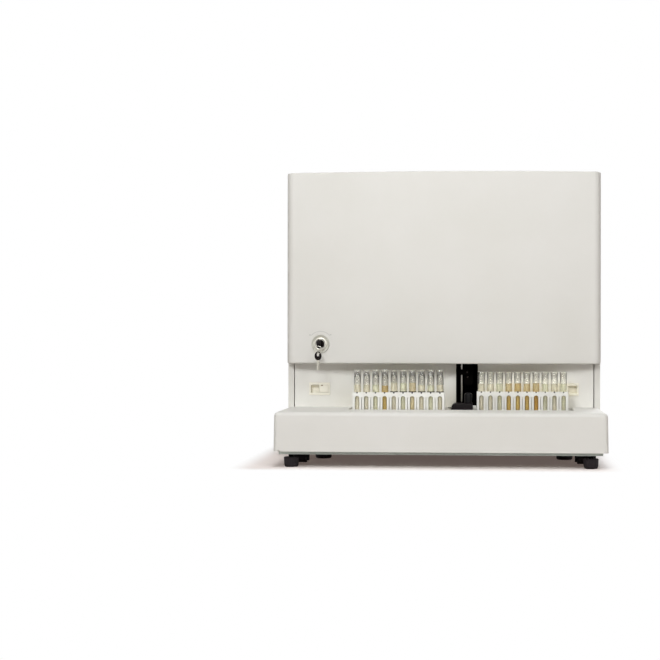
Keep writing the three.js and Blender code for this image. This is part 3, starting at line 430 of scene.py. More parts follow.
# Camera: nearly square to the front, with the machine right of the middle
view = {'imagePixels': 660, 'focalPixels': 1480, 'sensorMm': 36, 'place': (101.2, -3413.1, 283.1),
        'shift': -0.1, 'rise': 0.0045, 'yaw': 3.58, 'roll': 0.07}
camera = bpy.data.objects.new('photoCamera', bpy.data.cameras.new('photoCamera'))
scene.collection.objects.link(camera)
camera.data.sensor_width = view['sensorMm']
camera.data.lens = camera.data.sensor_width * view['focalPixels'] / view['imagePixels']
camera.data.shift_x, camera.data.shift_y = view['shift'], view['rise']
stand = Matrix.Translation(point(*view['place']))
for axis, turn in (('Z', view['yaw']), ('X', 90), ('Z', view['roll'])):
    stand = stand @ turned(turn, axis)
camera.matrix_world = stand
scene.camera = camera

# Light: a dim warm room that is seen as white, two softboxes in front, one overhead and one behind
studio = {'room': 0.045, 'roomColour': '#ffc274', 'lampColour': '#f6f9fc', 'lampSize': 1.0,
          'lamps': {'key': ((-1.1, -3.2, 1.9), 54.5), 'fill': ((1.5, -3.2, 1.7), 27.5),
                    'top': ((0, -1.6, 3.5), 59), 'rear': ((1.4, 3.2, 2.0), 60)}, 'floorSize': 60,
          'floorColour': '#f2ece8', 'floorGlow': 0.112, 'glowColour': '#ffe2d8', 'floorFade': 0.066,
          'shadowShift': 0.03, 'aim': (0, -0.1, 0.25)}
for name, (place, power) in studio['lamps'].items():
    lamp = bpy.data.objects.new(name + 'Softbox', bpy.data.lights.new(name + 'Softbox', 'AREA'))
    lamp.data.shape, lamp.data.size, lamp.data.energy = 'SQUARE', studio['lampSize'], power
    lamp.data.color = linear(studio['lampColour'])[:3]
    lamp.location = place
    lamp.rotation_euler = (Vector(studio['aim']) - Vector(place)).to_track_quat('-Z', 'Y').to_euler()
    scene.collection.objects.link(lamp)


def seenDirectly(tree):
    # 1 for rays from the eye, from a gloss or through glass, 0 for the light that falls on things
    rays = addNode(tree, 'LightPath').outputs
    seen = rays['Is Camera Ray']
    for kind in ('Is Glossy Ray', 'Is Transmission Ray'):
        seen = addNode(tree, 'Math', {0: seen, 1: rays[kind]}, operation='MAXIMUM')
    return seen


world = bpy.data.worlds.new('whiteRoom')
world.use_nodes = True
scene.world = world
sky = world.node_tree
sky.nodes.clear()
seen = seenDirectly(sky)
strength = addNode(sky, 'MapRange', {'To Min': studio['room'], 'Value': seen})
tone = addNode(sky, 'Mix', {0: seen, 6: linear(studio['roomColour']), 7: linear('#ffffff')}, data_type='RGBA')
room = addNode(sky, 'Background', {'Color': tone.outputs[2], 'Strength': strength})
addNode(sky, 'OutputWorld', {'Surface': room})


def floorPaper():
    # white paper: keeps the shadow under the machine and turns to plain white just outside its footprint
    material, tree, outside = emptyMaterial('whitePaperFloor')
    right, back, _ = cadBox[1]
    for step, amount in (('ADD', (studio['shadowShift'], 0, 0)), ('ABSOLUTE', (0, 0, 0)),
                         ('SUBTRACT', (right, back, 0)), ('MAXIMUM', (0, 0, 0)), ('LENGTH', (0, 0, 0))):
        outside = addNode(tree, 'VectorMath', {0: outside, 1: amount}, operation=step)
    far = addNode(tree, 'MapRange', {'From Max': studio['floorFade'], 'Value': outside.outputs['Value']},
                  interpolation_type='SMOOTHSTEP')
    seen = seenDirectly(tree)
    paper = addNode(tree, 'BsdfDiffuse', {'Color': linear(studio['floorColour'])})
    # a glow seen only from the eye: painted light that lifts and warms the shadow under the machine
    strength = addNode(tree, 'Math', {0: seen, 1: studio['floorGlow']}, operation='MULTIPLY')
    glow = addNode(tree, 'Emission', {'Color': linear(studio['glowColour']), 'Strength': strength})
    paper = addNode(tree, 'AddShader', {0: paper, 1: glow})
    white = addNode(tree, 'Emission', {'Color': linear('#ffffff'), 'Strength': 1.0})
    fade = addNode(tree, 'Math', {0: seen, 1: far}, operation='MULTIPLY')
    both = addNode(tree, 'MixShader', {0: fade, 1: paper, 2: white})
    addNode(tree, 'OutputMaterial', {'Surface': both})
    return material


floor = bpy.data.objects.new('floor', bpy.data.meshes.new('floor'))
floorMesh = bmesh.new()
bmesh.ops.create_grid(floorMesh, x_segments=1, y_segments=1, size=studio['floorSize'] / 2)
floorMesh.to_mesh(floor.data)
floorMesh.free()
floor.data.materials.append(floorPaper())
scene.collection.objects.link(floor)
print('camera, lamps and floor ready')


# Casing: folded panels with small rounded folds, the base pan and the black bay
casing = {'foldEdge': 0.7, 'panEdge': 0.9, 'bayEdge': 0.5}
for node, name in (('left_side_panel', 'leftSidePanel'), ('right_side_panel', 'rightSidePanel'),
                   ('top_panel', 'topPanel'), ('rear_panel', 'rearPanel')):
    dressed(node, name, powderCoat, casing['foldEdge'])
# the recess wall wears the paler copy of the coat: painted light against the shade of the cover
dressed('recess_panel', 'recessWall', recessLightPowderCoat, casing['foldEdge'])
dressed('base_chassis', 'baseChassis', primerCoat, casing['panEdge'])
# the bay in near-zero black: matt spray, and painted shade of the deep opening
dressed('sampling_bay', 'samplingBay', mattBlackAndShade, casing['bayEdge'])
print('casing ready')


# Sampler tray: a moulded hood with the sunk lane for the racks
tray = {'draft': 1.4, 'cornerRadius': 9, 'topRadius': 11, 'wall': 4, 'rim': 20,
        'lane': ((-204, -212, 88), (286, -104.3, 121)), 'slot': ((-167.6, -147.9, 80), (53.6, -138.7, 92)),
        'ledge': ((294, -117, 116), (331, -101, 118.2)), 'notch': ((-339.5, -333, 33), (-335.5, -325, 36.6)),
        'lipRadius': 0.8, 'lipAngle': 50}


def trayForm(inset):
    low, high = edges('sampler_tray')
    low, high = low + Vector([inset] * 3), high - Vector([inset] * 3)
    middle = (low + high) / 2
    bm = boxMesh(low, high)
    for vert in bm.verts:
        if vert.co.z > mm(middle.z):
            vert.co.x -= math.copysign(mm(tray['draft']), vert.co.x)
    upright = [edge for edge in edgesWhere(bm, lambda co: co.y < mm(middle.y))
               if span(edge, 2) > mm(middle.z - low.z)]
    roundOff(bm, upright, tray['cornerRadius'] - inset, 10)
    return roundOff(bm, rimEdges(bm, high.z, high.y), tray['topRadius'] - inset, 10)


def makeTray():
    low, high = edges('sampler_tray')
    rim, wall = tray['rim'], tray['wall']
    bm = combined(trayForm(0), trayForm(wall))
    below = boxMesh((low.x + rim, low.y + rim, low.z - wall), (high.x - rim, high.y - rim, low.z + 2 * wall))
    bm = combined(bm, below)
    (left, front, bottom), (right, _, _) = tray['lane']  # in a housing of its own under the hood
    housing = boxMesh((left - wall, front - wall, bottom - wall),
                      (right + wall, high.y - hair, high.z - wall / 2))
    for added in (housing, boxMesh(*tray['ledge'])):
        bm = combined(bm, added, 'UNION')
    for opening in (tray['lane'], tray['slot'], tray['notch']):
        bm = combined(bm, boxMesh(*opening))
    return bm


addPiece('samplerTray', makeTray(), texturedAbs, 'main_unit', ['sampler_tray'],
         tray['lipRadius'], 3, tray['lipAngle'])
print('sampler tray ready')


# Front cover: a bowed hood, rounded at its corners and rims, open at the back
cover = {'cornerY': -130, 'bow': 25, 'bowHalf': 332, 'columns': 36, 'cornerRadius': 17, 'rimRadius': 3,
         'wall': 3, 'backY': -101, 'relief': (-104.1, 631.9), 'notchX': (31.5, 74.5), 'notchFront': -148.4,
         'hinge': (-100, 636.5), 'notchUp': 7, 'columnIn': 10, 'knuckleX': 250, 'knuckleHalf': 30,
         'knuckleRadius': 3.5, 'pinRadius': 1.8, 'pinPast': 2, 'downward': -0.9, 'undersideTo': 1}
lock = {'x': -272, 'z': 258.5, 'hole': 9.3, 'seat': 20.7, 'seatDepth': 1.4, 'boreFrom': -6, 'boreTo': 20,
        'loopOff': 4}


def bowY(x):
    return cover['cornerY'] - cover['bow'] * (1 - (x / cover['bowHalf']) ** 2)


# the lock stands square to the bowed face: its own frame, with Y running inward
lockSlope = math.atan(2 * cover['bow'] * lock['x'] / cover['bowHalf'] ** 2)
lockPlace = point(lock['x'], bowY(lock['x']), lock['z'])
lockFrame = Matrix.Translation(lockPlace) @ Matrix.Rotation(lockSlope, 4, 'Z')


def coverForm(inset, back):
    low, high = edges('front_cover')
    side, front = high.x - inset, cover['cornerY'] + inset
    bm = boxMesh((-side, front, low.z + inset), (side, back, high.z - inset))
    reach = cover['bowHalf'] - cover['columnIn']
    for column in range(cover['columns'] + 1):
        cutAcross(bm, point(reach * (2 * column / cover['columns'] - 1), 0, 0), (1, 0, 0))
    # a cut line under and over the lock keeps the gloss of the long face even
    for way in (-1, 1):
        cutAcross(bm, point(0, 0, lock['z'] + way * (lock['seat'] + lock['loopOff'])), (0, 0, 1))
    for vert in bm.verts:
        x = vert.co.x * 1000
        if vert.co.y < mm(front + near) and abs(x) < cover['bowHalf']:
            vert.co.y = mm(bowY(x) + inset)
    upright = edgesWhere(bm, lambda co: abs(co.x) > mm(side - near) and co.y < mm(front + near))
    roundOff(bm, upright, cover['cornerRadius'] - inset, 10)
    if inset == 0:
        roundOff(bm, rimEdges(bm, high.z, back) + rimEdges(bm, low.z, back), cover['rimRadius'], 4)
    return bm


def makeCover():
    low, high = edges('front_cover')
    past, half = cover['backY'] + overrun, cover['knuckleHalf']
    bm = combined(coverForm(0, cover['backY']), coverForm(cover['wall'], past))
    (reliefY, reliefZ), (left, right) = cover['relief'], cover['notchX']
    relief = boxMesh((low.x - overrun, reliefY, reliefZ), (high.x + overrun, past, high.z + overrun))
    notch = boxMesh((left, cover['notchFront'], low.z - overrun), (right, past, low.z + cover['notchUp']))
    start, step, end = lock['boreFrom'], lock['seatDepth'], lock['boreTo']
    bore = spunMesh([(0, start), (lock['seat'], start), (lock['seat'], step), (lock['hole'], step),
                     (lock['hole'], end), (0, end)], 64)
    for opening in (relief, notch, moved(bore, lockFrame @ at(0, 0, 0, 'y'))):
        bm = combined(bm, opening)
    hingeY, hingeZ = cover['hinge']
    for x in (-cover['knuckleX'], cover['knuckleX']):
        place, reach = at(x, hingeY, hingeZ, 'x'), half + cover['pinPast']
        arm = boxMesh((x - half, reliefY - overrun, high.z - cover['wall']), (x + half, hingeY, high.z))
        knuckle = combined(arm, moved(rodMesh(cover['knuckleRadius'], -half, half), place), 'UNION')
        pin = moved(rodMesh(cover['pinRadius'], -reach, reach, 24), place)
        bm = combined(combined(bm, knuckle, 'UNION'), pin)
    return bm


coverPiece = addPiece('frontCover', makeCover(), texturedAbs, 'cover', ['front_cover'])
# the cover's downward faces near its bottom take the dark underside: painted shade in the gap under the cover
coverPiece.data.materials.append(undersideShadeAbs)
underside = mm(edges('front_cover')[0].z + cover['undersideTo'])
for face in coverPiece.data.polygons:
    if face.normal.z < cover['downward'] and face.center.z < underside:
        face.material_index = 1
print('front cover ready')


# Door lock: dished ring, dark plug, key, split ring and spare key
keys = {'ringFront': -1.9, 'ringBack': 1.1, 'dishRadius': 20.4, 'dishIn': ((0, 0), (0, -0.5), (0.8, -0.6)),
        'dishOut': ((-1.2, 0.3), (-0.8, 0), (-0.4, 0), (0, 0.4)), 'beadOuter': 14.2, 'beadInner': 10.6,
        'beadRise': 1.2, 'bore': 9.3, 'plugFront': -2.9, 'plugEdge': 0.4, 'headRadius': 10, 'headThick': 8.6,
        'edgeShare': 0.66, 'flatShare': 0.62, 'stand': 4, 'holeRadius': 3.6, 'holeForward': 6, 'holeDrop': 3,
        'bladeWidth': 5.4, 'bladeThick': 2.2, 'bladeIn': 14, 'bladeEdge': 0.3, 'tang': 2, 'spareBlade': 21,
        'spareThick': 4, 'spareHole': 5.2, 'spareTurn': -34, 'spareEdge': 0.25, 'teeth': 4, 'toothHalf': 1.3,
        'toothPitch': 3.6, 'toothFrom': 2.5, 'toothOut': 0.2, 'wire': 0.8, 'wireRadius': 8.5, 'sag': 1.5,
        'printRadius': 27.6, 'printWidth': 1.1, 'printProud': 0.12, 'printThick': 0.4, 'printTurn': 96,
        'dotRadius': 1.7, 'dotProud': 0.1, 'dots': ((-24, 19.8), (23.4, 20.6))}


def onLock(bm, x=0, y=0, z=0, axis='z'):
    return moved(bm, lockFrame @ at(x, y, z, axis))


def makeLockBead():
    # a raised bead round the plug
    front, back, rise = keys['ringFront'], keys['ringBack'], keys['beadRise']
    bead, middle = (keys['beadOuter'] - keys['beadInner']) / 2, (keys['beadOuter'] + keys['beadInner']) / 2
    crest = [(u, front + rise - v * rise / bead) for u, v in arc(middle, 0, bead, 180, 0, 8)]
    return onLock(spunMesh([(keys['bore'], back), (keys['bore'], front + rise)] + crest
                           + [(keys['beadOuter'], back), (keys['bore'], back)], 72), axis='y')


def makeLockDish():
    # a dish painted darker than the cover as painted shade, sloping in from its rim to the bead
    inner = [(keys['beadOuter'] + near + out, keys['ringBack'] + up) for out, up in keys['dishIn']]
    outer = [(keys['dishRadius'] + out, keys['ringFront'] + up) for out, up in keys['dishOut']]
    return onLock(spunMesh(inner + outer + [(keys['dishRadius'], keys['ringBack']), inner[0]], 72), axis='y')


def keyHead(thick):
    # a lens-like moulded head, round seen from the side
    half, radius = thick / 2, keys['headRadius']
    edge, flat = half * keys['edgeShare'], radius * keys['flatShare']
    return moved(spunMesh([(0, -half), (flat, -half)] + arc(radius - edge, 0, edge, -90, 90)
                          + [(flat, half), (0, half)], 48), at(0, 0, 0, 'x'))


def ringHole(radius, y, z):
    return moved(rodMesh(radius, -keys['headThick'], keys['headThick']), at(0, y, z, 'x'))


def bladeMesh(length):
    # a flat blade with its cuts, hanging down from the head
    half, thick, tooth = keys['bladeWidth'] / 2, keys['bladeThick'], keys['toothHalf']
    bm = boxMesh((-thick / 2, -half, -length), (thick / 2, half, 0))
    for number in range(keys['teeth']):
        cutter = moved(boxMesh((-thick, -tooth, -tooth), (thick, tooth, tooth)), turned(45, 'X'))
        height = keys['toothFrom'] - length + number * keys['toothPitch']
        bm = combined(bm, moved(cutter, at(0, half + keys['toothOut'], height)))
    return bm


def makeKeys():
    radius, tang = keys['headRadius'], keys['tang']
    headY = keys['plugFront'] - keys['stand'] - radius
    hole = ringHole(keys['holeRadius'], -keys['holeForward'], -keys['holeDrop'])
    head = combined(keyHead(keys['headThick']), hole)
    addPiece('doorKeyHead', onLock(head, 0, headY, 0), blackAbs, 'inserted_key',
             ['door_key'])
    thick, wide = keys['bladeThick'] / 2, keys['bladeWidth'] / 2
    shank = boxMesh((-thick, radius - tang, -wide), (thick, radius + keys['stand'] + keys['bladeIn'], wide))
    addPiece('doorKeyBlade', onLock(shank, 0, headY, 0), nickelPlate, 'inserted_key',
             edgeMm=keys['bladeEdge'])

    ringY, ringZ = headY - keys['holeForward'], -keys['holeDrop'] - keys['sag'] - keys['wireRadius']
    half = keys['wire'] / 2
    turns = joined(*[moved(ringMesh(keys['wireRadius'], half), at(0, side * half, 0)) for side in (-1, 1)])
    addPiece('splitRing', onLock(turns, 0, ringY, ringZ), nickelPlate, 'split_ring',
             ['key_ring'])

    spareZ, drop = ringZ - keys['wireRadius'] - keys['sag'], radius - keys['holeRadius'] - keys['holeDrop']
    head = combined(moved(keyHead(keys['spareThick']), at(0, 0, -drop)), ringHole(keys['spareHole'], 0, 0))
    turn = turned(keys['spareTurn'], 'Z')
    addPiece('spareKeyHead', onLock(moved(head, turn), 0, ringY, spareZ), blackAbs, 'hanging_key',
             ['spare_key'])
    blade = moved(bladeMesh(keys['spareBlade'] + tang), at(0, 0, tang - drop - radius))
    addPiece('spareKeyBlade', onLock(moved(blade, turn), 0, ringY, spareZ), nickelPlate, 'hanging_key',
             edgeMm=keys['spareEdge'])


def makeLockPrint():
    # a printed arc over the lock and a dot at each side
    radius, turn, thick = keys['printRadius'], keys['printTurn'], keys['printThick']
    bm = bmesh.new()
    ends = [bm.verts.new(point(reach, -keys['printProud'], 0))
            for reach in (radius, radius + keys['printWidth'])]
    line = bm.edges.new(ends)
    bmesh.ops.rotate(bm, cent=(0, 0, 0), matrix=Matrix.Rotation(math.radians(-90 - turn / 2), 3, 'Y'),
                     verts=ends)
    bmesh.ops.spin(bm, geom=ends + [line], cent=(0, 0, 0), axis=(0, 1, 0), angle=math.radians(turn), steps=32)
    bmesh.ops.recalc_face_normals(bm, faces=bm.faces[:])
    bmesh.ops.solidify(bm, geom=bm.faces[:], thickness=mm(thick))
    dots = [moved(rodMesh(keys['dotRadius'], -keys['dotProud'], thick, 24), at(x, 0, z, 'y'))
            for x, z in keys['dots']]
    return onLock(joined(bm, *dots))


addPiece('lockBead', makeLockBead(), nickelPlate, 'cover', ['lock_ring'])
# the lock's dish wears the darker grey: painted shade in its recess
addPiece('lockDish', makeLockDish(), dishShadeAbs, 'cover')
dressed('lock_barrel', 'lockPlug', blackenedBrass, keys['plugEdge'], 'lock')
addPiece('lockPrint', makeLockPrint(), greyInk, 'cover')
makeKeys()
print('lock and keys ready')


# Sampler: carriage, needle, shuttle and roller
sampler = {'carriageEdge': 0.8, 'screws': ((53.7, -119, 196), (54.5, -108, 184.8)),
           'screwHead': ((0, -1.1), (1.5, -1.1), (2.1, -0.5), (2.1, 1), (0, 1)),
           'needle': (41.6, -112, 128.6), 'needleTip': (0.7, 3), 'needleRadius': 1.6, 'needleRise': 171,
           'hubFrom': 93.4, 'hubTall': 18, 'hubRadius': 4, 'hubNeck': (2.6, 4), 'hubChamfer': 0.6,
           'bodyTo': 66, 'shuttleEdge': 1.1, 'nose': ((66.02, -146, 114), (74.6, -134, 123), 0.8),
           'roller': (56.5, -140, 128.3), 'rollerRadius': 8.5, 'rollerTall': 23, 'rollerChamfer': 0.5,
           'rollerPin': (2.5, 8), 'dome': 5}


def makeSampler():
    dressed('probe_carriage', 'probeCarriage', mattBlackAndShade, sampler['carriageEdge'],
            'carriage')
    heads = [moved(spunMesh(sampler['screwHead'], 24), at(*place, 'y')) for place in sampler['screws']]
    addPiece('carriageScrews', joined(*heads), blackenedBrass, 'carriage')

    place, needle, rise = at(*sampler['needle']), sampler['needleRadius'], sampler['needleRise']
    tipRadius, tipTall = sampler['needleTip']
    shaft = spunMesh([(0, 0), (tipRadius, 0), (needle, tipTall), (needle, rise), (0, rise)], 24)
    addPiece('sampleNeedle', moved(shaft, place), groundSteel, 'probe', ['sample_probe'])
    start, hub, chamfer = sampler['hubFrom'], sampler['hubRadius'], sampler['hubChamfer']
    end, (neck, neckTall) = start + sampler['hubTall'], sampler['hubNeck']
    sleeve = spunMesh([(needle, start), (hub - chamfer, start), (hub, start + chamfer), (hub, end - neckTall),
                       (neck, end), (needle, end), (needle, start)], 32)
    addPiece('needleHub', moved(sleeve, place), blackAbs, 'probe')

    low, high = edges('rack_shuttle')
    noseSide = boxMesh((sampler['bodyTo'], low.y - overrun, low.z - overrun), high + Vector([overrun] * 3))
    addPiece('rackShuttle', combined(nodeCopy('rack_shuttle'), noseSide), blackAbs, 'shuttle',
             ['rack_shuttle'], sampler['shuttleEdge'], 3)
    addPiece('shuttleNose', softBox(*sampler['nose']), whiteNylon, 'shuttle')

    radius, tall, dome = sampler['rollerRadius'], sampler['rollerTall'], sampler['dome']
    (pin, depth), chamfer = sampler['rollerPin'], sampler['rollerChamfer']
    profile = [(0, -depth), (pin, -depth), (pin, 0), (radius - chamfer, 0), (radius, chamfer)]
    profile += arc(radius - dome, tall - dome, dome, 0, 90) + [(0, tall)]
    addPiece('tubeRoller', moved(spunMesh(profile), at(*sampler['roller'])), greyAcetal, 'roller',
             ['tube_roller'])


makeSampler()
print('sampler ready')


# Racks and tubes: arched windows front and back, notches over them, glass tubes with their samples
rack = {'cells': 10, 'pitch': 20, 'windowWidth': 9.8, 'sill': 8, 'bar': 8, 'floor': 6, 'play': 0.3,
        'slitWidth': 1.4, 'slitDrop': 11, 'notch': 1.4, 'notchDeep': 3, 'notchDrop': 0.6, 'edge': 0.5,
        'edgeAngle': 40, 'stop': ((0, -0.3), (1.5, -0.3), (1.8, 0), (1.8, 2), (0, 2)), 'stopDrop': 1}
# rims, meniscus and ring are steps outward from the wall, and down from the mouth or up from level and rack;
# the ring is a black band of painted shade
tube = {'radius': 7.5, 'wall': 0.9, 'foot': 94.6, 'rimOut': ((0, 3.4), (0.35, 2.4), (0.35, 0.9), (-0.1, 0)),
        'rimIn': ((0, 0), (-0.3, 0.9), (-0.3, 2.2), (0, 3.2)), 'soak': 0.06,
        'meniscus': ((0, 0.9), (-0.5, 0.35), (-1.6, 0.05)),
        'ring': ((0.05, 0.1), (0.95, 0.1), (0.95, 1.4), (0.55, 2.0), (0.05, 1.8), (0.05, 0.1)),
        'left': {'levels': (170.1, 170.1, 170.1, 167.9, 174.4, 173.3, 174.4, 170.1, 169.0, 170.1),
                 'liquids': 'pale pale greenish amber pale greenish straw pale greenish pale'.split(),
                 'shadeRinged': range(5, 11)},
        'right': {'levels': (170.9, 170.9, 170.9, 171.5, 172, 171, 172, 170.9, 170.9, 171.5),
                  'liquids': 'pale pale greenish honey amber honey orange greenish pale greenish'.split(),
                  'shadeRinged': ()}}


def makeRack(node):
    low, high = edges(node)
    half, tall = (high.y - low.y) / 2, high.z - low.z
    pitch, cells, through = rack['pitch'], rack['cells'], half + overrun
    centres = [(cell + 0.5) * pitch - cells * pitch / 2 for cell in range(cells)]
    between = [cell * pitch - cells * pitch / 2 for cell in range(1, cells)]
    arch, archTop, slit = rack['windowWidth'] / 2, tall - rack['bar'], rack['slitWidth'] / 2

    def wellShape():
        return rodMesh(tube['radius'] + rack['play'], rack['floor'], tall + overrun, 40)

    def windowShape():
        bm = boxMesh((-arch, -through, rack['sill']), (arch, through, archTop))
        top = [edge for edge in edgesWhere(bm, lambda co: abs(co.z - mm(archTop)) < weld)
               if span(edge, 1) > mm(half)]
        return roundOff(bm, top, arch - hair, 8)

    def notchShape():
        drill = rodMesh(rack['notch'], -rack['notchDeep'], rack['notchDeep'], 16)
        return moved(drill, at(0, -half, tall - rack['notchDrop'], 'y'))

    def slitShape():
        return boxMesh((-slit, -through, rack['sill']), (slit, through, tall - rack['slitDrop']))

    bm = boxMesh((-cells * pitch / 2, -half, 0), (cells * pitch / 2, half, tall))
    for shape, places in ((wellShape, centres), (windowShape, centres), (notchShape, centres),
                          (slitShape, between)):
        bm = combined(bm, joined(*[moved(shape(), at(x, 0, 0)) for x in places]))
    x, y, _ = centre(node)
    return moved(bm, at(x, y, low.z))


def makeTube(top):
    # closed at the bottom, fire-polished to a small bead at the mouth
    outer, inner, length = tube['radius'], tube['radius'] - tube['wall'], top - tube['foot']
    mouth = [(outer + out, length - down) for out, down in tube['rimOut']]
    mouth += [(inner + out, length - down) for out, down in tube['rimIn']]
    return spunMesh(arc(0, outer, outer, -90, 0, 8) + mouth + arc(0, outer, inner, 0, -90, 8), 40)


def makeSample(level):
    # fills the glass up to its level, with the edge drawn up the wall
    outer, inner, height = tube['radius'], tube['radius'] - tube['wall'] + tube['soak'], level - tube['foot']
    surface = [(inner + out, height + up) for out, up in tube['meniscus']] + [(0, height)]
    return spunMesh(arc(0, outer, inner, -90, 0, 8) + surface, 40)


def makeShadeStops(node):
    # small black stops in the notches over the windows: painted shade that darkens the notches
    low, high = edges(node)
    places = [at(low.x + (cell + 0.5) * rack['pitch'], low.y, high.z - rack['stopDrop'], 'y')
              for cell in range(rack['cells'])]
    return joined(*[moved(spunMesh(rack['stop'], 20), place) for place in places])


def makeShadeRing(x, y, z):
    # a black ring round a tube, resting on the rack: painted shade where the hole round the tube lies in
    # shadow
    return moved(spunMesh([(tube['radius'] + out, up) for out, up in tube['ring']], 40), at(x, y, z))


for side in ('left', 'right'):
    body, rackNode = side + '_rack_set', side + '_rack'
    # black stops darken the notches: painted shade
    addPiece(side + 'RackShadeStops', makeShadeStops(rackNode), footRubber, body)
    addPiece(side + 'Rack', makeRack(rackNode), rackPolypropylene, body, [rackNode],
             rack['edge'], 2, rack['edgeAngle'])
    for number in range(1, rack['cells'] + 1):
        node, label = '%s_tube_%02d' % (side, number), '%s%%s%02d' % (side, number)
        x, y, _ = centre(node)
        glass = moved(makeTube(edges(node)[1].z), at(x, y, tube['foot']))
        addPiece(label % 'Tube', glass, tubeGlass, body, [node])
        sample = moved(makeSample(tube[side]['levels'][number - 1]), at(x, y, tube['foot']))
        addPiece(label % 'Sample', sample, samples[tube[side]['liquids'][number - 1]], body)
        # tubes with a black ring round them: painted shade in the holes round them
        if number in tube[side]['shadeRinged']:
            addPiece(label % 'Ring', makeShadeRing(x, y, edges(rackNode)[1].z), footRubber, body)
print('racks and tubes ready')


# Service latches: ivory frames with a sliding tab
latch = {'edge': 0.8, 'mark': (5, 3.2, 0.25), 'markSunk': 0.4, 'markEdge': 0.2, 'markRise': 8, 'markIn': 6}
for side, sign in (('left', -1), ('right', 1)):
    dressed(side + '_latch_frame', side + 'LatchFrame', ivoryAbs, latch['edge'], edgeSteps=3)
    dressed(side + '_latch_slide', side + 'LatchTab', ivoryAbs, latch['edge'],
            side + '_tab', 3)
    low, high = edges(side + '_latch_slide')
    x = (low.x if sign < 0 else high.x) - sign * latch['markIn']
    wide, tall, proud = latch['mark']
    z = (low.z + high.z) / 2 + latch['markRise']
    mark = softBox((x - wide / 2, low.y - proud, z - tall / 2),
                   (x + wide / 2, low.y + latch['markSunk'], z + tall / 2), latch['markEdge'], 2)
    addPiece(side + 'LatchMark', mark, brownAbs, side + '_tab')
print('latches ready')


# Feet and casters
feet = {'knobRadius': 16, 'knobTall': 21, 'toeRadius': 4, 'toeIn': 5.2, 'waist': 7, 'chamfer': 1.2,
        'ribs': 20, 'ribDepth': 0.045, 'ribBand': 3, 'stemRadius': 5, 'stemTop': 43, 'blockRadius': 19.5,
        'blockTall': 27.6, 'blockToeIn': 5.5, 'forkEdge': 0.8, 'wheelRadius': 10.5, 'treadRound': 2,
        'bore': 2.8}


def makeKnob():
    # a ribbed rubber knob with a rounded lower edge
    radius, tall, toe, chamfer = feet['knobRadius'], feet['knobTall'], feet['toeRadius'], feet['chamfer']
    base = radius - feet['toeIn']
    profile = [(0, 0)] + arc(base, toe, toe, -90, -10, 5)
    profile += [(radius - chamfer / 2, feet['waist']), (radius, tall - chamfer), (radius - chamfer, tall)]
    bm = spunMesh(profile + [(0, tall)], feet['ribs'] * 4)
    for vert in bm.verts:
        around = math.atan2(vert.co.y, vert.co.x)
        if vert.co.xy.length > mm(radius - feet['ribBand']) and vert.co.z < mm(tall - chamfer / 2):
            shrink = 1 - feet['ribDepth'] * max(0, -math.cos(around * feet['ribs']))
            vert.co.x, vert.co.y = vert.co.x * shrink, vert.co.y * shrink
    return bm


def makeStem():
    radius, bottom, top, chamfer = feet['stemRadius'], feet['knobTall'], feet['stemTop'], feet['chamfer'] / 2
    return spunMesh([(0, bottom), (radius, bottom), (radius, top - chamfer), (radius - chamfer, top),
                     (0, top)], 32)


def makeBlock():
    radius, tall, toe = feet['blockRadius'], feet['blockTall'], feet['toeRadius']
    side = arc(radius - feet['blockToeIn'], toe, toe, -90, -5)
    return spunMesh([(0, 0)] + side + [(radius, tall), (0, tall)], 56)


def makeWheel(node):
    low, high = edges(node)
    half, bore, soft = (high.x - low.x) / 2, feet['bore'], feet['treadRound']
    crown = feet['wheelRadius'] - soft
    tread = arc(crown, soft - half, soft, -90, 0) + arc(crown, half - soft, soft, 0, 90)
    return moved(spunMesh([(bore, -half)] + tread + [(bore, half), (bore, -half)]), at(*centre(node), 'x'))


for side in ('left', 'right'):
    node, leveller = 'front_%s_foot' % side, 'front_%s_leveller' % side
    x, y, _ = centre(node)
    addPiece('front%sKnob' % side.title(), moved(makeKnob(), at(x, y, 0)), footRubber, leveller,
             [node])
    addPiece('front%sStem' % side.title(), moved(makeStem(), at(x, y, 0)), mattBlackAndShade, leveller)
    for end in ('mid', 'rear'):
        node = '%s_%s_foot' % (end, side)
        x, y, _ = centre(node)
        addPiece(end + side.title() + 'Foot', moved(makeBlock(), at(x, y, 0)), footRubber, 'main_unit',
                 [node])
    dressed(side + '_caster_fork', side + 'CasterFork', blackAbs, feet['forkEdge'],
            side + '_caster')
    node = side + '_caster_wheel'
    addPiece(side + 'CasterWheel', makeWheel(node), footRubber, side + '_wheel', [node])
print('feet and casters ready')


# Inside: microscope with its camera, and the syringe pump. Boxes are two corners and the radius of their
# edges, round pieces are profiles of (radius, height).
scope = {'place': (170, 130, 34), 'base': ((-75, -85, 0), (75, 85, 18), 3),
         'column': ((-30, 39, 0.5), (30, 85, 250), 4), 'arm': ((-30, -81, 206), (30, 84.9, 249.9), 4),
         'stage': ((-55, -45, 86), (55, 39, 98), 1.2), 'flowCell': ((-13, -13, 98), (13, 13, 104), 0.6),
         'knobAt': (0, 62, 60), 'knob': ((0, 30), (14, 30), (17, 32), (17, 43), (15, 45), (0, 45)),
         'objectiveLens': ((0, 144), (4.5, 144), (6, 145.5), (9, 149), (13.4, 158), (14, 160), (14, 176),
                           (13.2, 176.6), (13.2, 178.4), (14, 179), (14, 207), (0, 207)),
         'cameraTube': ((0, 248), (22, 248), (22, 262), (20.5, 263.5), (20.5, 290), (22, 291.5), (22, 302),
                        (0, 302)), 'camera': ((-27, -27, 298), (27, 27, 368), 2.5),
         'cameraPlate': ((-8, -28.2, 330), (8, -26.8, 342), 0.4)}


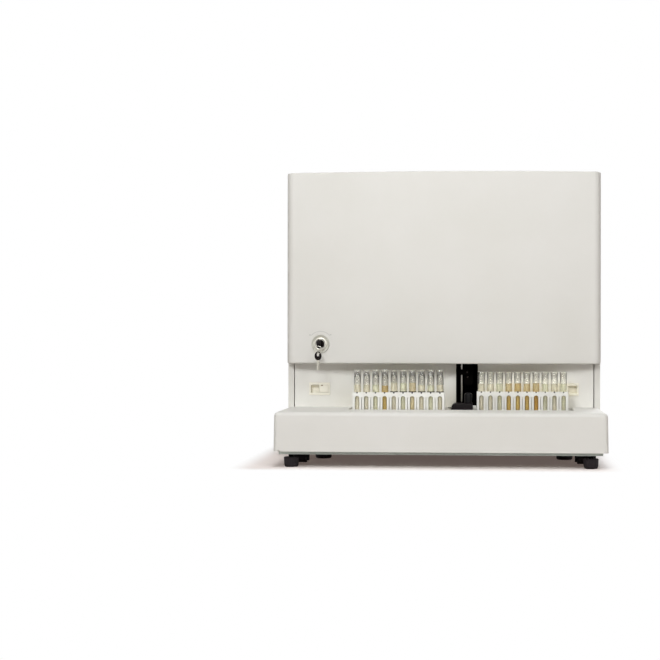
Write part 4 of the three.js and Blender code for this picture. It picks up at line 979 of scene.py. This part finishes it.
def makeMicroscope():
    place = at(*scope['place'])
    casting = joined(*[softBox(*scope[part]) for part in ('base', 'column', 'arm')])
    addPiece('microscopeStand', moved(casting, place), hammerCoat, 'main_unit',
             ['microscope'])
    stage = joined(softBox(*scope['stage']), softBox(*scope['flowCell']))
    addPiece('microscopeStage', moved(stage, place), blackAbs, 'main_unit')
    spindle = at(*scope['knobAt'])
    knobs = [moved(spunMesh(scope['knob'], 40), spindle @ turned(90 * side, 'Y')) for side in (-1, 1)]
    addPiece('focusKnobs', moved(joined(*knobs), place), blackAbs, 'main_unit')
    for name, material, slot in (('objectiveLens', nickelPlate, 'pump_metal'),
                                 ('cameraTube', blackAbs, 'black_plastic')):
        addPiece(name, moved(spunMesh(scope[name]), place), material, 'main_unit')
    box = joined(softBox(*scope['camera']), softBox(*scope['cameraPlate']))
    addPiece('microscopeCamera', moved(box, place), greyAcetal, 'main_unit')


pump = {'place': (-150, 70, 34), 'barrelY': -19, 'bore': (10.7, 150, 200),
        'foot': ((-35, -35, 0), (35, 35, 8), 1.2), 'back': ((-35, -7, 0.5), (35, 7, 210), 1.2),
        'clamp': ((-17, -33, 168), (17, -6.5, 180), 1.2),
        'barrel': ((8.5, 104), (11, 104), (11, 180), (8.5, 180), (8.5, 104)),
        'cap': ((0, 180), (11, 180), (11, 187), (10, 188), (4, 188), (4, 193), (0, 193)),
        'piston': ((0, 160), (7.6, 160), (8.2, 161), (8.2, 163), (7.6, 163.6), (7.6, 166), (8.2, 166.6),
                   (8.2, 170), (6, 172), (0, 172)), 'rod': (3, 66, 161),
        'shoe': ((-15, -25, 56), (15, -7.3, 68), 1.5)}


def makePump():
    place, inPlate = at(*pump['place']), at(0, pump['barrelY'], 0)
    line = place @ inPlate
    clamp = combined(softBox(*pump['clamp']), moved(rodMesh(*pump['bore'], 40), inPlate))
    plate = joined(softBox(*pump['foot']), softBox(*pump['back']), clamp)
    addPiece('pumpPlate', moved(plate, place), brushedAluminium, 'main_unit', ['syringe_pump'])
    addPiece('pumpBarrel', moved(spunMesh(pump['barrel']), line), tubeGlass, 'main_unit')
    addPiece('pumpCap', moved(spunMesh(pump['cap']), line), whiteNylon, 'main_unit')
    piston = moved(spunMesh(pump['piston'], 40), line)
    addPiece('pumpPiston', piston, footRubber, 'plunger', ['syringe_plunger'])
    addPiece('pumpRod', moved(rodMesh(*pump['rod'], 24), line), groundSteel, 'plunger')
    addPiece('pumpShoe', moved(softBox(*pump['shoe']), place), blackAbs, 'plunger')


makeMicroscope()
makePump()
print('microscope and pump ready')


# Rear: fan, power inlet, switch and panel screws
rear = {'edge': 0.5, 'inlet': (-250, 326.5, 112), 'socket': ((-13.95, -14.65, -22.45), (13.95, 6, -5.55)),
        'pins': ((-7, -14), (0, -8), (7, -14)), 'pin': ((-1, -15, -2), (1, -1.7, 2), 0.3, 2), 'screwX': 338,
        'screwZs': (60, 250, 440, 615), 'screwHead': ((0, -1.5), (3.6, -1.5), (3.6, 0.2)),
        'screwDome': (1.8, 0.2, 1.8),
        'drive': (((-2, -0.5, 1.0), (2, 0.5, 3)), ((-0.5, -2, 1.01), (0.5, 2, 2.99)))}


def makeScrew(x, y, z):
    # a pan head with a crossed drive, facing the rear
    u, v, radius = rear['screwDome']
    head = spunMesh([*rear['screwHead'], *arc(u, v, radius, 0, 90, 4)[1:], (0, v + radius)], 24)
    slots = combined(*[boxMesh(*bar) for bar in rear['drive']], 'UNION')
    return moved(combined(head, slots), at(x, y, z, 'y'))


addPiece('coolingFan', nodeCopy('cooling_fan'), blackAbs, 'fan', ['cooling_fan'],
         rear['edge'])
inletPlace = at(*rear['inlet'])
addPiece('powerInlet', combined(nodeCopy('power_inlet'), moved(boxMesh(*rear['socket']), inletPlace)),
         blackAbs, 'main_unit', ['power_inlet'], rear['edge'])
pins = joined(*[moved(softBox(*rear['pin']), at(x, 0, z)) for x, z in rear['pins']])
addPiece('inletPins', moved(pins, inletPlace), nickelPlate, 'main_unit')
dressed('power_switch', 'powerSwitch', blackAbs, rear['edge'], 'switch_rocker')
screws = joined(*[makeScrew(side * rear['screwX'], rear['inlet'][1], z) for side in (-1, 1)
                  for z in rear['screwZs']])
addPiece('rearScrews', screws, nickelPlate, 'main_unit')
print('rear ready')
